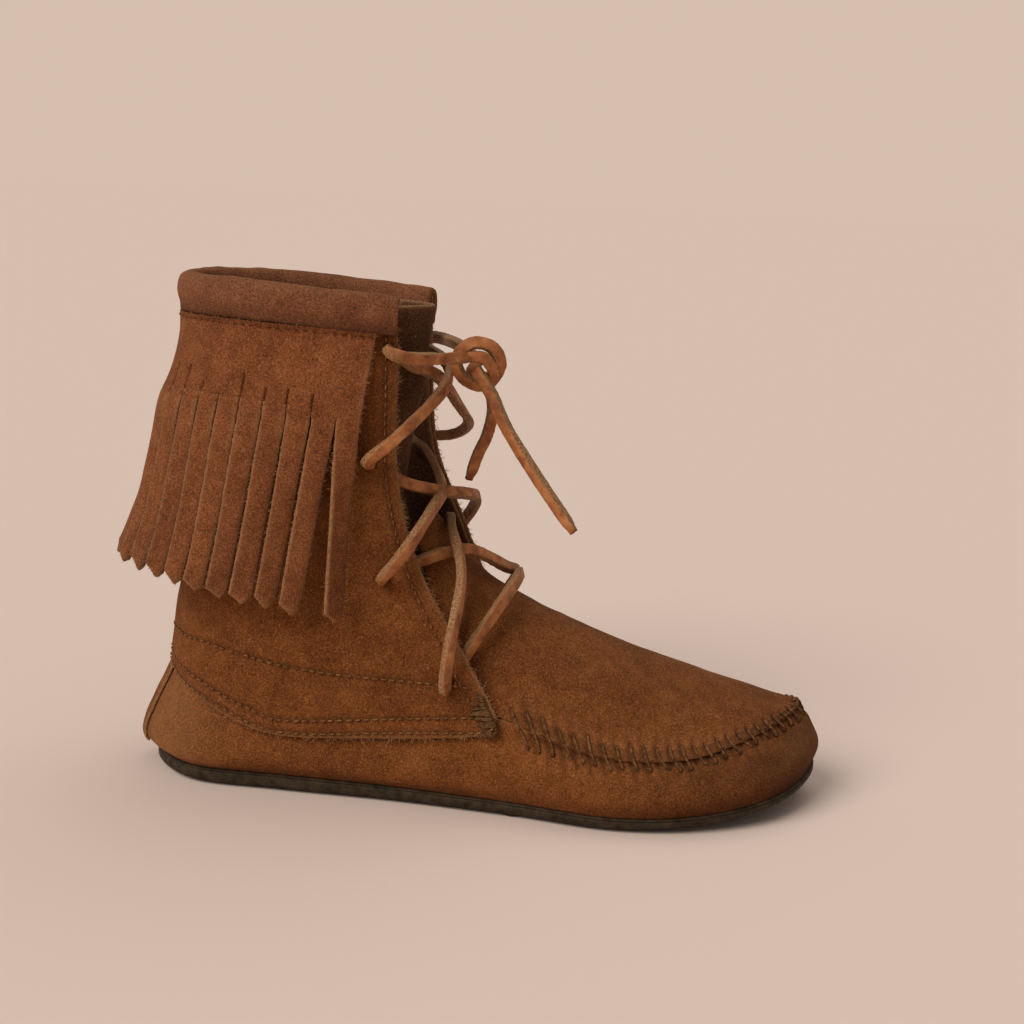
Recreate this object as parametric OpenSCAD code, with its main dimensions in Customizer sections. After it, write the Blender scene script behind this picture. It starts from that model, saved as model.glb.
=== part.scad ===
// Fringed lace-up moccasin boot, right foot.
// +X points to the toe, +Z up and -Y to the outer (lateral) side of the foot.
// The origin is on the floor, under the middle of the sole.

/* [Overall] */
// Length of the outsole, heel to toe
sole_l = 242; // [215:1:275]
// Width of the outsole over the ball of the foot
ball_w = 89; // [78:0.5:100]
// Height of the collar's top edge above the floor, at the back
boot_h = 180; // [150:1:215]

/* [Leather] */
// Thickness of the upper's suede
leather_t = 1.8; // [1.4:0.1:2.2]
// Thickness of the lining strips and the heel stiffener
lining_t = 1.2; // [0.8:0.1:1.5]
// Width of the edge turned in under the foot
turn_in = 13; // [9:0.5:16]
// Gap between pieces that lie on each other
gap = 0.2; // [0.1:0.05:0.3]

/* [Sole] */
// Outsole thickness at the heel, without the nubs
heel_t = 5; // [3.5:0.1:6]
// Outsole thickness at the toe, without the nubs
toe_t = 3.4; // [2.5:0.1:4]
// Height of a tread nub
nub_h = 1.2; // [0.8:0.1:3]
// Diameter of a tread nub
nub_d = 8; // [5:0.5:10]
// Distance between tread nubs along a row
nub_pitch = 14; // [12:0.5:20]
// Rise of the toe above the floor
toe_spring = 8; // [4:0.5:10]
// Thickness of the foam footbed
foam_t = 3; // [2:0.5:4]

/* [Fringe] */
// Number of strands round the boot
strand_n = 24; // [16:1:26]
// Length of a strand at the back of the boot
strand_l = 60; // [45:1:64]
// Gap between neighbouring strands
strand_gap = 0.9; // [0.7:0.1:1.5]

/* [Lace] */
// Width of the square leather thong
lace_d = 3.4; // [2.8:0.1:3.6]
// Diameter of the punched lace holes
hole_d = 4.4; // [4.2:0.1:5]

/* [Hidden] */
$fn = 32;
function strand_name(k) = str("strand_", k < 10 ? "0" : "", k);

suede = [0.47, 0.27, 0.15];
suede_dark = [0.33, 0.18, 0.10];
rubber = [0.20, 0.16, 0.11];
rawhide = [0.70, 0.40, 0.20];
thread = [0.62, 0.52, 0.38];

// ---- scaling of the hand-set control points to the driving sizes ----
scale_x = sole_l / 242;
scale_y = ball_w / 89;
scale_z = boot_h / 180;
function sized(p) = [p[0] * scale_x, p[1] * scale_y, len(p) == 3 ? p[2] * scale_z : 0];
function sized_all(list) = [for (p = list) sized(p)];

// ---- smooth curves through control points ----
function spline(a, b, c, d, f) = 0.5 * (2 * b + (c - a) * f
    + (2 * a - 5 * b + 4 * c - d) * f * f + (3 * b - a - 3 * c + d) * f * f * f);
function ring_at(pts, t) = let (n = len(pts), i = floor(t))
    spline(pts[(i + n - 1) % n], pts[i % n], pts[(i + 1) % n], pts[(i + 2) % n], t - i);
function line_at(pts, t) = let (n = len(pts), i = min(max(floor(t), 0), n - 2))
    spline(i == 0 ? 2 * pts[0] - pts[1] : pts[i - 1], pts[i], pts[i + 1],
           i == n - 2 ? 2 * pts[n - 1] - pts[n - 2] : pts[i + 2], t - i);
function unit(v) = v / norm(v);
function mix(a, b, f) = a + (b - a) * f;
function clamp(v, lo, hi) = min(max(v, lo), hi);

// ---- closed solids from grids of points ----
function flat_list(list) = [for (row = list) each row];
// Surface direction at each point of a grid: rows run up, columns run heel, outer side, toe.
function grid_normal(g, r, c, closed) = let (rows = len(g), cols = len(g[0]),
    right = closed ? g[r][(c + 1) % cols] : g[r][min(c + 1, cols - 1)],
    left = closed ? g[r][(c + cols - 1) % cols] : g[r][max(c - 1, 0)])
    unit(cross(right - left, g[min(r + 1, rows - 1)][c] - g[max(r - 1, 0)][c]));
function offset_grid(g, d, closed = false) = [for (r = [0:len(g) - 1])
    [for (c = [0:len(g[0]) - 1]) g[r][c] + d * grid_normal(g, r, c, closed)]];

// A skin with the outer face a and the inner face b.
module shell(a, b, closed = false) {
    rows = len(a);
    cols = len(a[0]);
    n = rows * cols;
    last = closed ? cols - 1 : cols - 2;
    faces = [for (r = [0:rows - 2]) for (c = [0:last])
        let (p = r * cols + c, q = r * cols + (c + 1) % cols)
        each [[p, q + cols, q], [p, p + cols, q + cols],
              [n + p, n + q, n + q + cols], [n + p, n + q + cols, n + p + cols]]];
    top = (rows - 1) * cols;
    rims = [for (c = [0:last]) let (q = (c + 1) % cols)
        each [[c, q, n + q], [c, n + q, n + c],
              [top + q, top + c, n + top + c], [top + q, n + top + c, n + top + q]]];
    ends = closed ? [] : [for (r = [0:rows - 2])
        let (p = r * cols, u = p + cols, e = p + cols - 1, v = e + cols)
        each [[u, p, n + p], [u, n + p, n + u], [e, v, n + v], [e, n + v, n + e]]];
    polyhedron(points = concat(flat_list(a), flat_list(b)), faces = concat(faces, rims, ends));
}
module leather(grid, t, closed = false) shell(grid, offset_grid(grid, -t, closed), closed);

// A plate whose rings run round the sole; both caps are strips from side to side.
module plate(rings) {
    cols = len(rings[0]);
    half = cols / 2;
    top = (len(rings) - 1) * cols;
    sides = [for (r = [0:len(rings) - 2]) for (c = [0:cols - 1])
        let (p = r * cols + c, q = r * cols + (c + 1) % cols)
        each [[p, q + cols, q], [p, p + cols, q + cols]]];
    caps = [for (i = [0:half - 1]) let (j = (cols - i) % cols, k = cols - i - 1)
        each concat(i == half - 1 ? [] : [[i, i + 1, k], [top + i, top + k, top + i + 1]],
                    i == 0 ? [] : [[i, k, j], [top + i, top + j, top + k]])];
    polyhedron(points = flat_list(rings), faces = concat(sides, caps));
}

// A round cord along a list of points.
function tangent(p, i) = unit(p[min(i + 1, len(p) - 1)] - p[max(i - 1, 0)]);
function across(v, t) = unit(v - (v * t) * t);
function cord_sides(p, first) = [for (i = 0, u = across(first, tangent(p, 0)); i < len(p);
    i = i + 1, u = across(u, tangent(p, min(i, len(p) - 1)))) u];
module cord(p, d, sides = 8) {
    u = cord_sides(p, [0.2, 0.3, 1]);
    n = len(p);
    pts = [for (i = [0:n - 1]) for (k = [0:sides - 1]) let (w = cross(tangent(p, i), u[i]))
        p[i] + d / 2 * (cos(360 * k / sides) * u[i] + sin(360 * k / sides) * w)];
    walls = [for (i = [0:n - 2]) for (k = [0:sides - 1])
        let (a = i * sides + k, b = i * sides + (k + 1) % sides)
        each [[a, b + sides, b], [a, a + sides, b + sides]]];
    end = (n - 1) * sides;
    caps = [for (k = [1:sides - 2]) each [[0, k, k + 1], [end, end + k + 1, end + k]]];
    polyhedron(points = pts, faces = concat(walls, caps));
}
function route(pts, per_span) = [for (i = [0:(len(pts) - 1) * per_span])
    line_at(pts, i / per_span)];

// A straight thread from p to q.
module thread_between(p, q, d) {
    v = q - p;
    translate(p) rotate([0, acos(v[2] / norm(v)), atan2(v[1], v[0])])
        cylinder(d = d, h = norm(v), $fn = 16);
}

// ---- sole ----
// Outline of the outsole: heel, outer side, toe, inner side.
sole_pts = sized_all([[-121, 0], [-104, -26], [-70, -31], [-30, -34], [12, -40], [48, -47],
    [80, -42.5], [107, -26], [121, 4], [112, 26], [85, 38], [50, 42], [12, 34], [-30, 26],
    [-70, 26], [-104, 24]]);
ring_n = 64;
ring_step = 16 / ring_n;
spring_from = 40 * scale_x;
function sole_bottom(x) = nub_h + toe_spring * pow(max(x - spring_from, 0) / (80 * scale_x), 2);
function sole_top(x) = sole_bottom(x) + mix(heel_t, toe_t, clamp((x / scale_x + 60) / 140, 0, 1));
function sole_inset(t, d) = let (p = ring_at(sole_pts, t), e = 0.02,
    v = unit(ring_at(sole_pts, t + e) - ring_at(sole_pts, t + 16 - e))) p + d * [-v[1], v[0], 0];
function sole_ring(inset, above_top) = [for (i = [0:ring_n - 1])
    let (p = sole_inset(i * ring_step, inset)) [p[0], p[1], sole_top(p[0]) + above_top]];
function tread_ring(inset, up) = [for (i = [0:ring_n - 1])
    let (p = sole_inset(i * ring_step, inset)) [p[0], p[1], sole_bottom(p[0]) + up]];
module layer(inset, low, t) plate([sole_ring(inset, low), sole_ring(inset, low + t)]);

edge_round = 0.8;
nub_edge = 9;
nub_sink = 1;
// Staggered rows, with one nub at the origin.
module nubs() {
    rows = floor((sole_l / 2 - nub_edge) / nub_pitch);
    for (i = [-rows:rows]) {
        x = i * nub_pitch;
        t = clamp((x / sole_l + 0.5) * 8, 0.6, 7.4);
        shift = abs(i) % 2 / 2;
        low = ceil(sole_inset(t, nub_edge)[1] / nub_pitch - shift);
        high = floor(sole_inset(16 - t, nub_edge)[1] / nub_pitch - shift);
        for (k = [low:high])
            translate([x, (k + shift) * nub_pitch, sole_bottom(x) - nub_h])
                cylinder(d = nub_d, h = nub_h + nub_sink, $fn = 24);
    }
}
module outsole() color(rubber) {
    plate([tread_ring(edge_round, 0), tread_ring(0, edge_round),
           sole_ring(0, -edge_round), sole_ring(edge_round / 2, 0)]);
    nubs();
}
board_t = 2;
board_low = leather_t + 2 * gap;
foam_low = board_low + board_t + gap;
liner_low = foam_low + foam_t + gap;
board_inset = leather_t + 1.4;
filler_inset = turn_in + 0.8;
module bottom_filler() color("tan") layer(filler_inset, gap, leather_t);
module insole_board() color("burlywood") layer(board_inset, board_low, board_t);
module insole_foam() color("khaki") layer(board_inset, foam_low, foam_t);
module sock_liner() color(suede) layer(board_inset, liner_low, lining_t);

// ---- upper ----
// Levels of the shaft, from the lower seam to the top edge. Each runs from the inner
// lacing edge round the back to the outer lacing edge.
shaft_pts = [for (level = [
    [[11, 34, 31], [-33, 29, 26], [-74, 28, 23], [-103, 20, 31], [-116.5, 0, 39],
     [-103, -22, 31.5], [-74, -33, 22], [-33, -36.5, 24], [12, -42, 29.5]],
    [[0, 30, 59], [-45, 33, 54], [-78, 31, 53], [-104, 20, 57], [-114, 0, 60],
     [-104, -21, 57], [-78, -33, 53], [-45, -36, 53], [-5.5, -36.5, 57]],
    [[-11, 25, 88], [-52, 31, 85], [-80, 31, 85], [-103, 19, 86.5], [-109.5, 0, 87],
     [-103, -19, 86.5], [-80, -31.5, 85], [-52, -33, 84], [-22, -31, 84.5]],
    [[-23, 23, 118], [-56, 32, 116], [-82, 31, 117], [-103.5, 18.5, 118], [-109, 0, 118],
     [-103.5, -18.5, 118], [-82, -32, 117], [-56, -33, 116], [-30.5, -29, 114]],
    [[-26, 24, 147], [-57, 34, 147.5], [-82, 32, 148], [-104, 19, 148], [-110, 0, 148],
     [-104, -19, 148], [-82, -33.5, 148], [-57, -35, 147.5], [-31.5, -29.5, 146]],
    [[-27, 25, 173], [-56, 35, 175], [-82, 33, 176.5], [-104.5, 19, 177], [-111, 0, 177],
     [-104.5, -19, 177], [-82, -34, 176.5], [-56, -36, 175], [-32.4, -30, 173]]])
    sized_all(level)];
level_n = len(shaft_pts) - 1;
back_u = 4;
front_u = 8;
function shaft_at(w, u) = line_at([for (level = shaft_pts) line_at(level, u)], w);
function shaft_normal(w, u) = let (e = 0.04)
    unit(cross(shaft_at(w, min(u + e, front_u)) - shaft_at(w, max(u - e, 0)),
               shaft_at(min(w + e, level_n), u) - shaft_at(max(w - e, 0), u)));
function shaft_off(w, u, d) = shaft_at(w, u) + d * shaft_normal(w, u);
function shaft_grid(w0, w1, rows, u0, u1, cols) = [for (r = [0:rows])
    [for (c = [0:cols]) shaft_at(mix(w0, w1, r / rows), mix(u0, u1, c / cols))]];

// Lace holes as places on the two quarters, low to high.
holes_lateral = sized_all([[-10, -40, 46.5], [-33.8, -34, 80.5], [-40, -32, 120],
    [-34, -33, 157.5]]);
holes_medial = sized_all([[-5.5, 31, 46.5], [-19.6, 27, 81.6], [-33.8, 27, 119.8],
    [-34.5, 27.5, 157.5]]);
hole_reach = 12;
module lace_bores(holes) for (h = holes)
    translate(h) rotate([90, 0, 0]) cylinder(d = hole_d, h = 2 * hole_reach, center = true, $fn = 24);

quarter_rows = 18;
quarter_cols = 14;
seam_half = 0.012;
module quarter_lateral() color(suede) difference() {
    leather(shaft_grid(0, level_n, quarter_rows, back_u + seam_half, front_u, quarter_cols), leather_t);
    lace_bores(holes_lateral);
}
module quarter_medial() color(suede) difference() {
    leather(shaft_grid(0, level_n, quarter_rows, 0, back_u - seam_half, quarter_cols), leather_t);
    lace_bores(holes_medial);
}
// Strips inside the lacing edges.
facing_low = 0.35;
facing_u = 0.5;
facing_edge = 0.02;
facing_top = level_n - 0.4;
facing_rows = 16;
facing_cols = 3;
module facing(u0, u1) leather(offset_grid(
    shaft_grid(facing_low, facing_top, facing_rows, u0, u1, facing_cols), -leather_t - gap), lining_t);
module facing_lateral() color(suede_dark) difference() {
    facing(front_u - facing_u, front_u - facing_edge);
    lace_bores(holes_lateral);
}
module facing_medial() color(suede_dark) difference() {
    facing(facing_edge, facing_u);
    lace_bores(holes_medial);
}

// Wrap: lower leather from the turned-in edge to the seams, all the way round.
bulge_pts = sized_all([[-125.3, 0, 13], [-107, -27.5, 12], [-72, -34, 12], [-31, -37, 12],
    [12, -43, 13], [47, -48, 13], [80, -43, 14], [106, -26, 18], [122, 4, 21],
    [112, 25.5, 19], [84, 38.5, 14], [49, 43, 13], [12, 37, 13], [-31, 30, 12],
    [-72, 29.5, 12], [-107, 25, 12]]);
seam_pts = sized_all([[-114.3, 0, 39], [-101.5, -20.3, 31.5], [-73.5, -30.8, 22],
    [-33, -34.2, 24], [11, -39.7, 29], [43, -42.5, 23.2], [73, -35, 21.8], [98, -18.8, 27.2],
    [115, 5.5, 31.6], [104, 22, 30], [80, 32, 26], [46, 36, 26.5], [10, 31.7, 31],
    [-33, 26.8, 26], [-73.5, 26, 23], [-101.5, 18.3, 31]]);
lap_pts = sized_all([[-112.5, 0, 47], [-101.5, -19.3, 40], [-75, -30.6, 31],
    [-36, -33.8, 32], [7, -38, 35], [42, -40.3, 25.2], [71.5, -33, 23.6], [96, -17.4, 28.8],
    [112.8, 5.5, 33.2], [102.3, 20.6, 30.6], [78.7, 30.4, 26.6], [45, 34.4, 27.2], [6, 30.4, 36],
    [-36, 26.8, 34], [-75, 26, 32], [-101.5, 17.8, 40]]);
function wall_at(t, w, low) = line_at([low, ring_at(bulge_pts, t), ring_at(seam_pts, t),
    ring_at(lap_pts, t)], w);
feather = 0.6;
wall_rows = 9;
function wrap_column(t) = let (a = sole_inset(t, turn_in), b = sole_inset(t, turn_in / 2),
    c = sole_inset(t, feather), z = [0, 0, sole_top(c[0]) + gap])
    concat([a + [0, 0, sole_top(a[0]) + gap], b + [0, 0, sole_top(b[0]) + gap], c + z],
           [for (k = [1:wall_rows]) wall_at(t, 3 * k / wall_rows, c + z)]);
function by_rows(columns) = [for (r = [0:len(columns[0]) - 1]) [for (c = columns) c[r]]];
wrap_grid = by_rows([for (i = [0:ring_n - 1]) wrap_column(i * ring_step)]);
module wrap() color(suede) leather(wrap_grid, leather_t, true);

// Heel stiffener inside the wrap, and the strip over its back seam outside.
function wall_patch(w0, w1, rows, half_t, cols, d) = offset_grid([for (r = [0:rows])
    [for (c = [0:cols]) let (t = (16 + mix(-half_t, half_t, c / cols)) % 16)
    wall_at(t, mix(w0, w1, r / rows), sole_inset(t, feather) + [0, 0, sole_top(0)])]], d);
counter_half = 1.6;
counter_w = [1.15, 2.6];
module heel_counter() color("tan")
    leather(wall_patch(counter_w[0], counter_w[1], 6, counter_half, 16, -leather_t - gap), lining_t);
stay_half = 0.32;
stay_w = [0.55, 1.9];
module backstay() color(suede_dark)
    leather(wall_patch(stay_w[0], stay_w[1], 8, stay_half, 6, gap + lining_t), lining_t);

// Plug: raised apron over the toes. Stations run from its top, behind the laces, to the toe.
plug_ridge = sized_all([[-21, -2, 99], [-8, 0, 83], [5, 2, 72], [40, 3, 55.5], [72, 5, 44],
    [96, 6, 37.5], [112, 6, 33.2]]);
plug_lateral = sized_all([[-27, -12, 96], [-13, -30.5, 62], [7, -37, 31]]);
plug_medial = sized_all([[-26, 8, 96], [-11, 24, 64], [5, 29, 33]]);
// Its edge lies on the wrap's top edge, and runs on under the quarters.
function plug_side(s, list, side) = s < 2 ? line_at(list, s)
    : ring_at(lap_pts, side > 0 ? 14 - s : s + 2) + [0, 0, leather_t / 2];
plug_crown = 0.88;
function plug_at(s, c) = let (a = plug_side(s, plug_lateral, -1), b = plug_side(s, plug_medial, 1),
    lift = line_at(plug_ridge, s) - (a + b) / 2)
    mix(a, b, (c + 1) / 2) + lift * pow(max(1 - c * c, 0), plug_crown);
plug_rows = 12;
plug_cols = 22;
plug_tip = 5.92;
plug_grid = [for (r = [0:plug_rows]) [for (c = [0:plug_cols])
    plug_at(plug_tip * c / plug_cols, -cos(180 * r / plug_rows))]];
module plug() color(suede) leather(plug_grid, leather_t);

// Tongue: strip behind the laces, slipped towards the outer side.
tongue_pts = sized_all([[-25.5, -5, 74], [-32.5, -6, 92], [-30.5, -8, 112], [-26.5, -8, 140],
    [-22.5, -7, 172]]);
tongue_half = 17 * scale_y;
tongue_bend = 14;
tongue_rows = 14;
tongue_cols = 8;
tongue_grid = [for (r = [0:tongue_rows]) [for (c = [0:tongue_cols])
    let (k = 2 * c / tongue_cols - 1, p = line_at(tongue_pts, 4 * r / tongue_rows))
    p + [-tongue_bend * k * k, k * tongue_half, 0]]];
module tongue() color(suede_dark)
    shell(tongue_grid, [for (row = tongue_grid) [for (p = row) p - [leather_t, 0, 0]]]);

// ---- collar ----
// Section of the rolled band about the top edge: out from the leather, up. Its inner arm
// starts behind the leather.
arm = -leather_t - 0.3;
roll_section = [[0.2, -9.5], [1.9, -9.3], [2.9, -5], [2.5, -1], [1, 2], [-1.4, 2.8],
    [arm - 1.8, 1.6], [arm - 2.8, -2], [arm - 2.3, -7.5], [arm - 0.1, -7.7], [arm, 0.3], [0.2, 0.3]];
roll_n = 44;
function roll_ring(u) = let (p = shaft_at(level_n, u), n = shaft_normal(level_n, u),
    out = unit([n[0], n[1], 0])) [for (s = roll_section) p + out * s[0] + [0, 0, s[1]]];
module collar_roll() color(suede) {
    rings = [for (i = [0:roll_n]) roll_ring(front_u * i / roll_n)];
    m = len(roll_section);
    n = roll_n * m;
    sides = [for (i = [0:roll_n - 1]) for (k = [0:m - 1])
        let (a = i * m + k, b = i * m + (k + 1) % m)
        each [[a, b, b + m], [a, b + m, a + m]]];
    // The section is U shaped, so its end caps are joined arm by arm.
    cap = [[0, 11, 1], [1, 11, 2], [2, 11, 3], [3, 11, 4], [4, 11, 5], [5, 11, 10], [5, 10, 6],
           [6, 10, 7], [7, 10, 8], [8, 10, 9]];
    caps = [for (f = cap) each [f, [n + f[0], n + f[2], n + f[1]]]];
    polyhedron(points = flat_list(rings), faces = concat(sides, caps));
}

// ---- fringe ----
// The skirt starts behind the roll's lower edge.
skirt_top_w = level_n - 0.38 / scale_z;
// The cut line drops towards the front.
skirt_back_w = 3.7;
skirt_dip = 0.2;
function skirt_low_w(u) = skirt_back_w - skirt_dip * pow((u - back_u) / (skirt_u1 - back_u), 4);
skirt_u0 = 0.5;
skirt_u1 = 7.5;
skirt_slant = 0.22;
skirt_stand = leather_t + 0.3;
// 1 at the back of the leg, 0 at its front.
turn_per_u = 30;
function back_share(u) = pow(cos(clamp((u - back_u) * turn_per_u, -90, 90)), 2);
// How far the cut line stands off: more at the back than at the sides.
flare_side = 3;
flare_back = 7;
function skirt_flare(u) = mix(flare_side, flare_back, back_share(u));
function skirt_at(v, u) = let (w = mix(skirt_top_w, skirt_low_w(u), v),
    k = u + skirt_slant * (1 - v) * pow((u - back_u) / (skirt_u1 - back_u), 3))
    shaft_off(w, k, skirt_stand + skirt_flare(u) * v * v);
skirt_cols = 48;
skirt_rows = 5;
skirt_grid = [for (r = [0:skirt_rows]) [for (c = [0:skirt_cols])
    skirt_at(1 - r / skirt_rows, mix(skirt_u0, skirt_u1, c / skirt_cols))]];
module fringe_skirt() color(suede) leather(skirt_grid, leather_t);

// Equal steps along the cut line: the line's length up to each of its marks.
mark_n = 96;
marks = [for (i = [0:mark_n]) skirt_at(1, mix(skirt_u0, skirt_u1, i / mark_n))];
lengths = [for (i = 0, s = 0; i <= mark_n;
    i = i + 1, s = s + (i <= mark_n ? norm(marks[i] - marks[i - 1]) : 0)) s];
function u_along(f) = let (goal = f * lengths[mark_n],
    i = min(len([for (s = lengths) if (s <= goal) 1]) - 1, mark_n - 1),
    part = (goal - lengths[i]) / (lengths[i + 1] - lengths[i]))
    mix(skirt_u0, skirt_u1, (i + part) / mark_n);
function strand_u(k) = u_along((k - 0.5) / strand_n);
strand_w = lengths[mark_n] / strand_n - strand_gap;
// Height of the fold below the cut line: more at the back, where the skirt leans out.
fold_drop_side = 0.9;
fold_drop_back = 2;
function root_drop(k) = mix(fold_drop_side, fold_drop_back, back_share(strand_u(k)));
// A strand's top edge follows the cut line, from its left corner to its right one.
function root_corner(k, side) = skirt_at(1, u_along((k - 0.5
    + side * strand_w / (strand_w + strand_gap) / 2) / strand_n)) - [0, 0, root_drop(k)];
function strand_root(k) = (root_corner(k, -1) + root_corner(k, 1)) / 2;
// The fold's line and the level direction away from the leg.
function strand_fold(k) = unit(root_corner(k, 1) - root_corner(k, -1));
function strand_out(k) = unit(cross(strand_fold(k), [0, 0, 1]));
// Swing of the tip away from the leg; the strands hang shorter at the back.
tip_out_side = 8;
tip_out_back = 17;
function tip_out(k) = mix(tip_out_side, tip_out_back, back_share(strand_u(k)));
drop_side = 1.07;
drop_back = 0.95;
function strand_drop(k) = strand_l * mix(drop_side, drop_back, back_share(strand_u(k)));
// The side strands' tips lie back along the cut line, the two front ones' less.
lean_side = 9.5;
lean_front = 0.3;
function lean(k) = lean_side * (k == 1 || k == strand_n ? lean_front : 1)
    * (1 - back_share(strand_u(k))) * sign(back_u - strand_u(k));
strand_steps = 7;
strand_taper = 0.05;
tip_width = 0.35;
function strand_level(k) = let (out = strand_out(k), level = [out[1], -out[0], 0])
    level * sign(level * strand_fold(k));
function strand_line(k, f) = strand_root(k) + strand_level(k) * lean(k) * f
    + strand_out(k) * (tip_out(k) * f * f - leather_t / 2) - [0, 0, strand_drop(k) * f];
function strand_half(f) = strand_w / 2 * (f > 0.99 ? tip_width : 1 - strand_taper * f);
module strand(k) {
    out = strand_out(k);
    tilt = strand_fold(k)[2];
    edge = [for (i = [strand_steps:-1:0]) let (f = i / strand_steps, p = strand_line(k, f),
        side = (strand_level(k) + [0, 0, tilt * (1 - f)]) * strand_half(f))
        [p - side, p + side]];
    color(suede) shell([for (e = edge) [for (p = e) p + out * leather_t / 2]],
                       [for (e = edge) [for (p = e) p - out * leather_t / 2]]);
}

// ---- lace ----
// Route of the thong, from the knot down one side and up the other.
lace_pts = sized_all([[-10, -15, 155.5], [-17, -26, 155.5], [-29, -38, 156.5], [-33.5, -37, 158],
    [-34, -27.5, 157], [-27.5, -22, 152], [-21, -5, 147], [-15, 12, 135], [-12.5, 24, 127],
    [-19, 31, 121.5], [-33, 31, 120], [-32.5, 21.5, 119.5], [-25, 8, 117], [-18, -6, 108],
    [-20, -23, 102], [-27, -37, 90], [-33.7, -38, 81.5], [-32.5, -29, 80.5], [-24, -24, 84.5],
    [-8.5, -10, 87], [5, 4, 78.5], [8.5, 22, 72], [3, 35, 60], [-4.8, 36, 47], [-4.5, 27, 47.5],
    [2, 25, 60], [9.5, 10, 74.5], [9.5, -6, 75.5],
    [4.5, -24, 69.5], [-3, -31.5, 58], [-9.5, -34.5, 47],
    [-10.5, -44, 46], [-9.5, -43, 60], [-8, -26, 81], [-13.5, -8, 93.5], [-16.5, 9, 94],
    [-19, 22, 83], [-19.5, 31.5, 81.5], [-12, 30, 91], [-8, 22, 99.5], [-10, 6, 104],
    [-19, -10, 107.5], [-30, -21.5, 112], [-38.5, -26.5, 118.5], [-40, -36, 121], [-30, -36.5, 130],
    [-18, -18, 143.5], [-18.5, 0, 151], [-30, 18, 155.5], [-34, 22.5, 157.5], [-34, 32.5, 157.5],
    [-24, 31, 157], [-13, 8, 156], [-7, -5, 153.5]]);
module lace() color(rawhide) cord(route(lace_pts, 1.5), lace_d);
knot_pts = sized_all([[-10, -15, 155.5], [-4, -14, 155], [-1, -11, 149], [-6, -8, 145],
    [-12, -10, 148], [-14, -13, 154], [-9, -15, 160], [-2, -13, 159], [1, -11, 153], [-3, -8, 146],
    [-9, -6, 149], [-7, -5, 153.5]]);
module lace_knot() color(rawhide) cord(route(knot_pts, 3), lace_d);
end_a_pts = sized_all([[-7, -14, 151], [-1, -17, 143], [5, -20, 132], [17, -26, 116], [30, -32, 100]]);
end_b_pts = sized_all([[-5, -8, 149], [-1.5, -5, 139], [-3, 1, 128], [-7, 5, 118], [-10, 8, 109]]);
module lace_end_a() color(rawhide) cord(route(end_a_pts, 3), lace_d);
module lace_end_b() color(rawhide) cord(route(end_b_pts, 2), lace_d);

// ---- stitching ----
stitch_lift = 0.1;
// Whipstitches from the plug down into the wrap, all round the toes.
whip_d = 1.1;
whip_n = 50;
whip_from = 2.15;
whip_in = 0.97;
whip_low = 0.16;
module plug_stitches() color(thread) for (i = [1:whip_n - 1]) {
    s = mix(whip_from, 12 - whip_from, i / whip_n);
    side = s < 6 ? -1 : 1;
    in = plug_at(min(s, 12 - s, plug_tip), side * whip_in);
    low = mix(ring_at(seam_pts, s + 2), ring_at(bulge_pts, s + 2), whip_low);
    away = unit([low[0] - in[0], low[1] - in[1], 0]);
    thread_between(in + 0.5 * away, low + 0.3 * away, whip_d);
}
// Rows of running stitches. A stitch takes up this share of its pitch.
row_d = 0.9;
row_fill = 0.55;
module row_on_shaft(w, u0, u1, n) for (i = [0:n - 1])
    thread_between(shaft_off(w, mix(u0, u1, i / n), stitch_lift),
                   shaft_off(w, mix(u0, u1, (i + row_fill) / n), stitch_lift), row_d);
quarter_row_n = 56;
quarter_row_w = [0.1, 0.24];
edge_row_u = 0.1;
module quarter_stitches() color(thread) for (w = quarter_row_w)
    row_on_shaft(w, edge_row_u, front_u - edge_row_u, quarter_row_n);
collar_row_n = 48;
module collar_stitches() color(thread)
    row_on_shaft(skirt_top_w, skirt_u0, skirt_u1, collar_row_n);
edge_row_n = 24;
module facing_stitches() color(thread) for (u = [edge_row_u, front_u - edge_row_u])
    for (i = [1:edge_row_n - 2])
        thread_between(shaft_off(level_n * i / edge_row_n, u, stitch_lift),
                       shaft_off(level_n * (i + row_fill) / edge_row_n, u, stitch_lift), row_d);
tack_n = 4;
tack_w = 0.06;
tack_u = [0.05, 0.19];
tack_lift = 0.3;
module bar_tacks() color([0.25, 0.25, 0.12]) for (k = [1:tack_n], side = [0, 1])
    thread_between(shaft_off(tack_w * k, abs(side * front_u - tack_u[0]), tack_lift),
                   shaft_off(tack_w * k, abs(side * front_u - tack_u[1]), tack_lift), whip_d);

outsole();
bottom_filler();
insole_board();
insole_foam();
sock_liner();
wrap();
plug();
tongue();
quarter_lateral();
quarter_medial();
facing_lateral();
facing_medial();
heel_counter();
backstay();
collar_roll();
fringe_skirt();
lace();
lace_knot();
lace_end_a();
lace_end_b();
plug_stitches();
quarter_stitches();
collar_stitches();
facing_stitches();
bar_tacks();
for (k = [1:strand_n]) strand(k);
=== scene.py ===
"""Fringed moccasin boot, right foot: the visual model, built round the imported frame.

Shapes are worked out in millimetres, with +X to the toe, +Z up and -Y on the foot's outer side;
add_piece() turns them into metres. The nets of points are those of the CAD source.
"""

import math

import bmesh
import bpy
import numpy as np
from mathutils import Matrix, Vector
from mathutils.kdtree import KDTree


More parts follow.
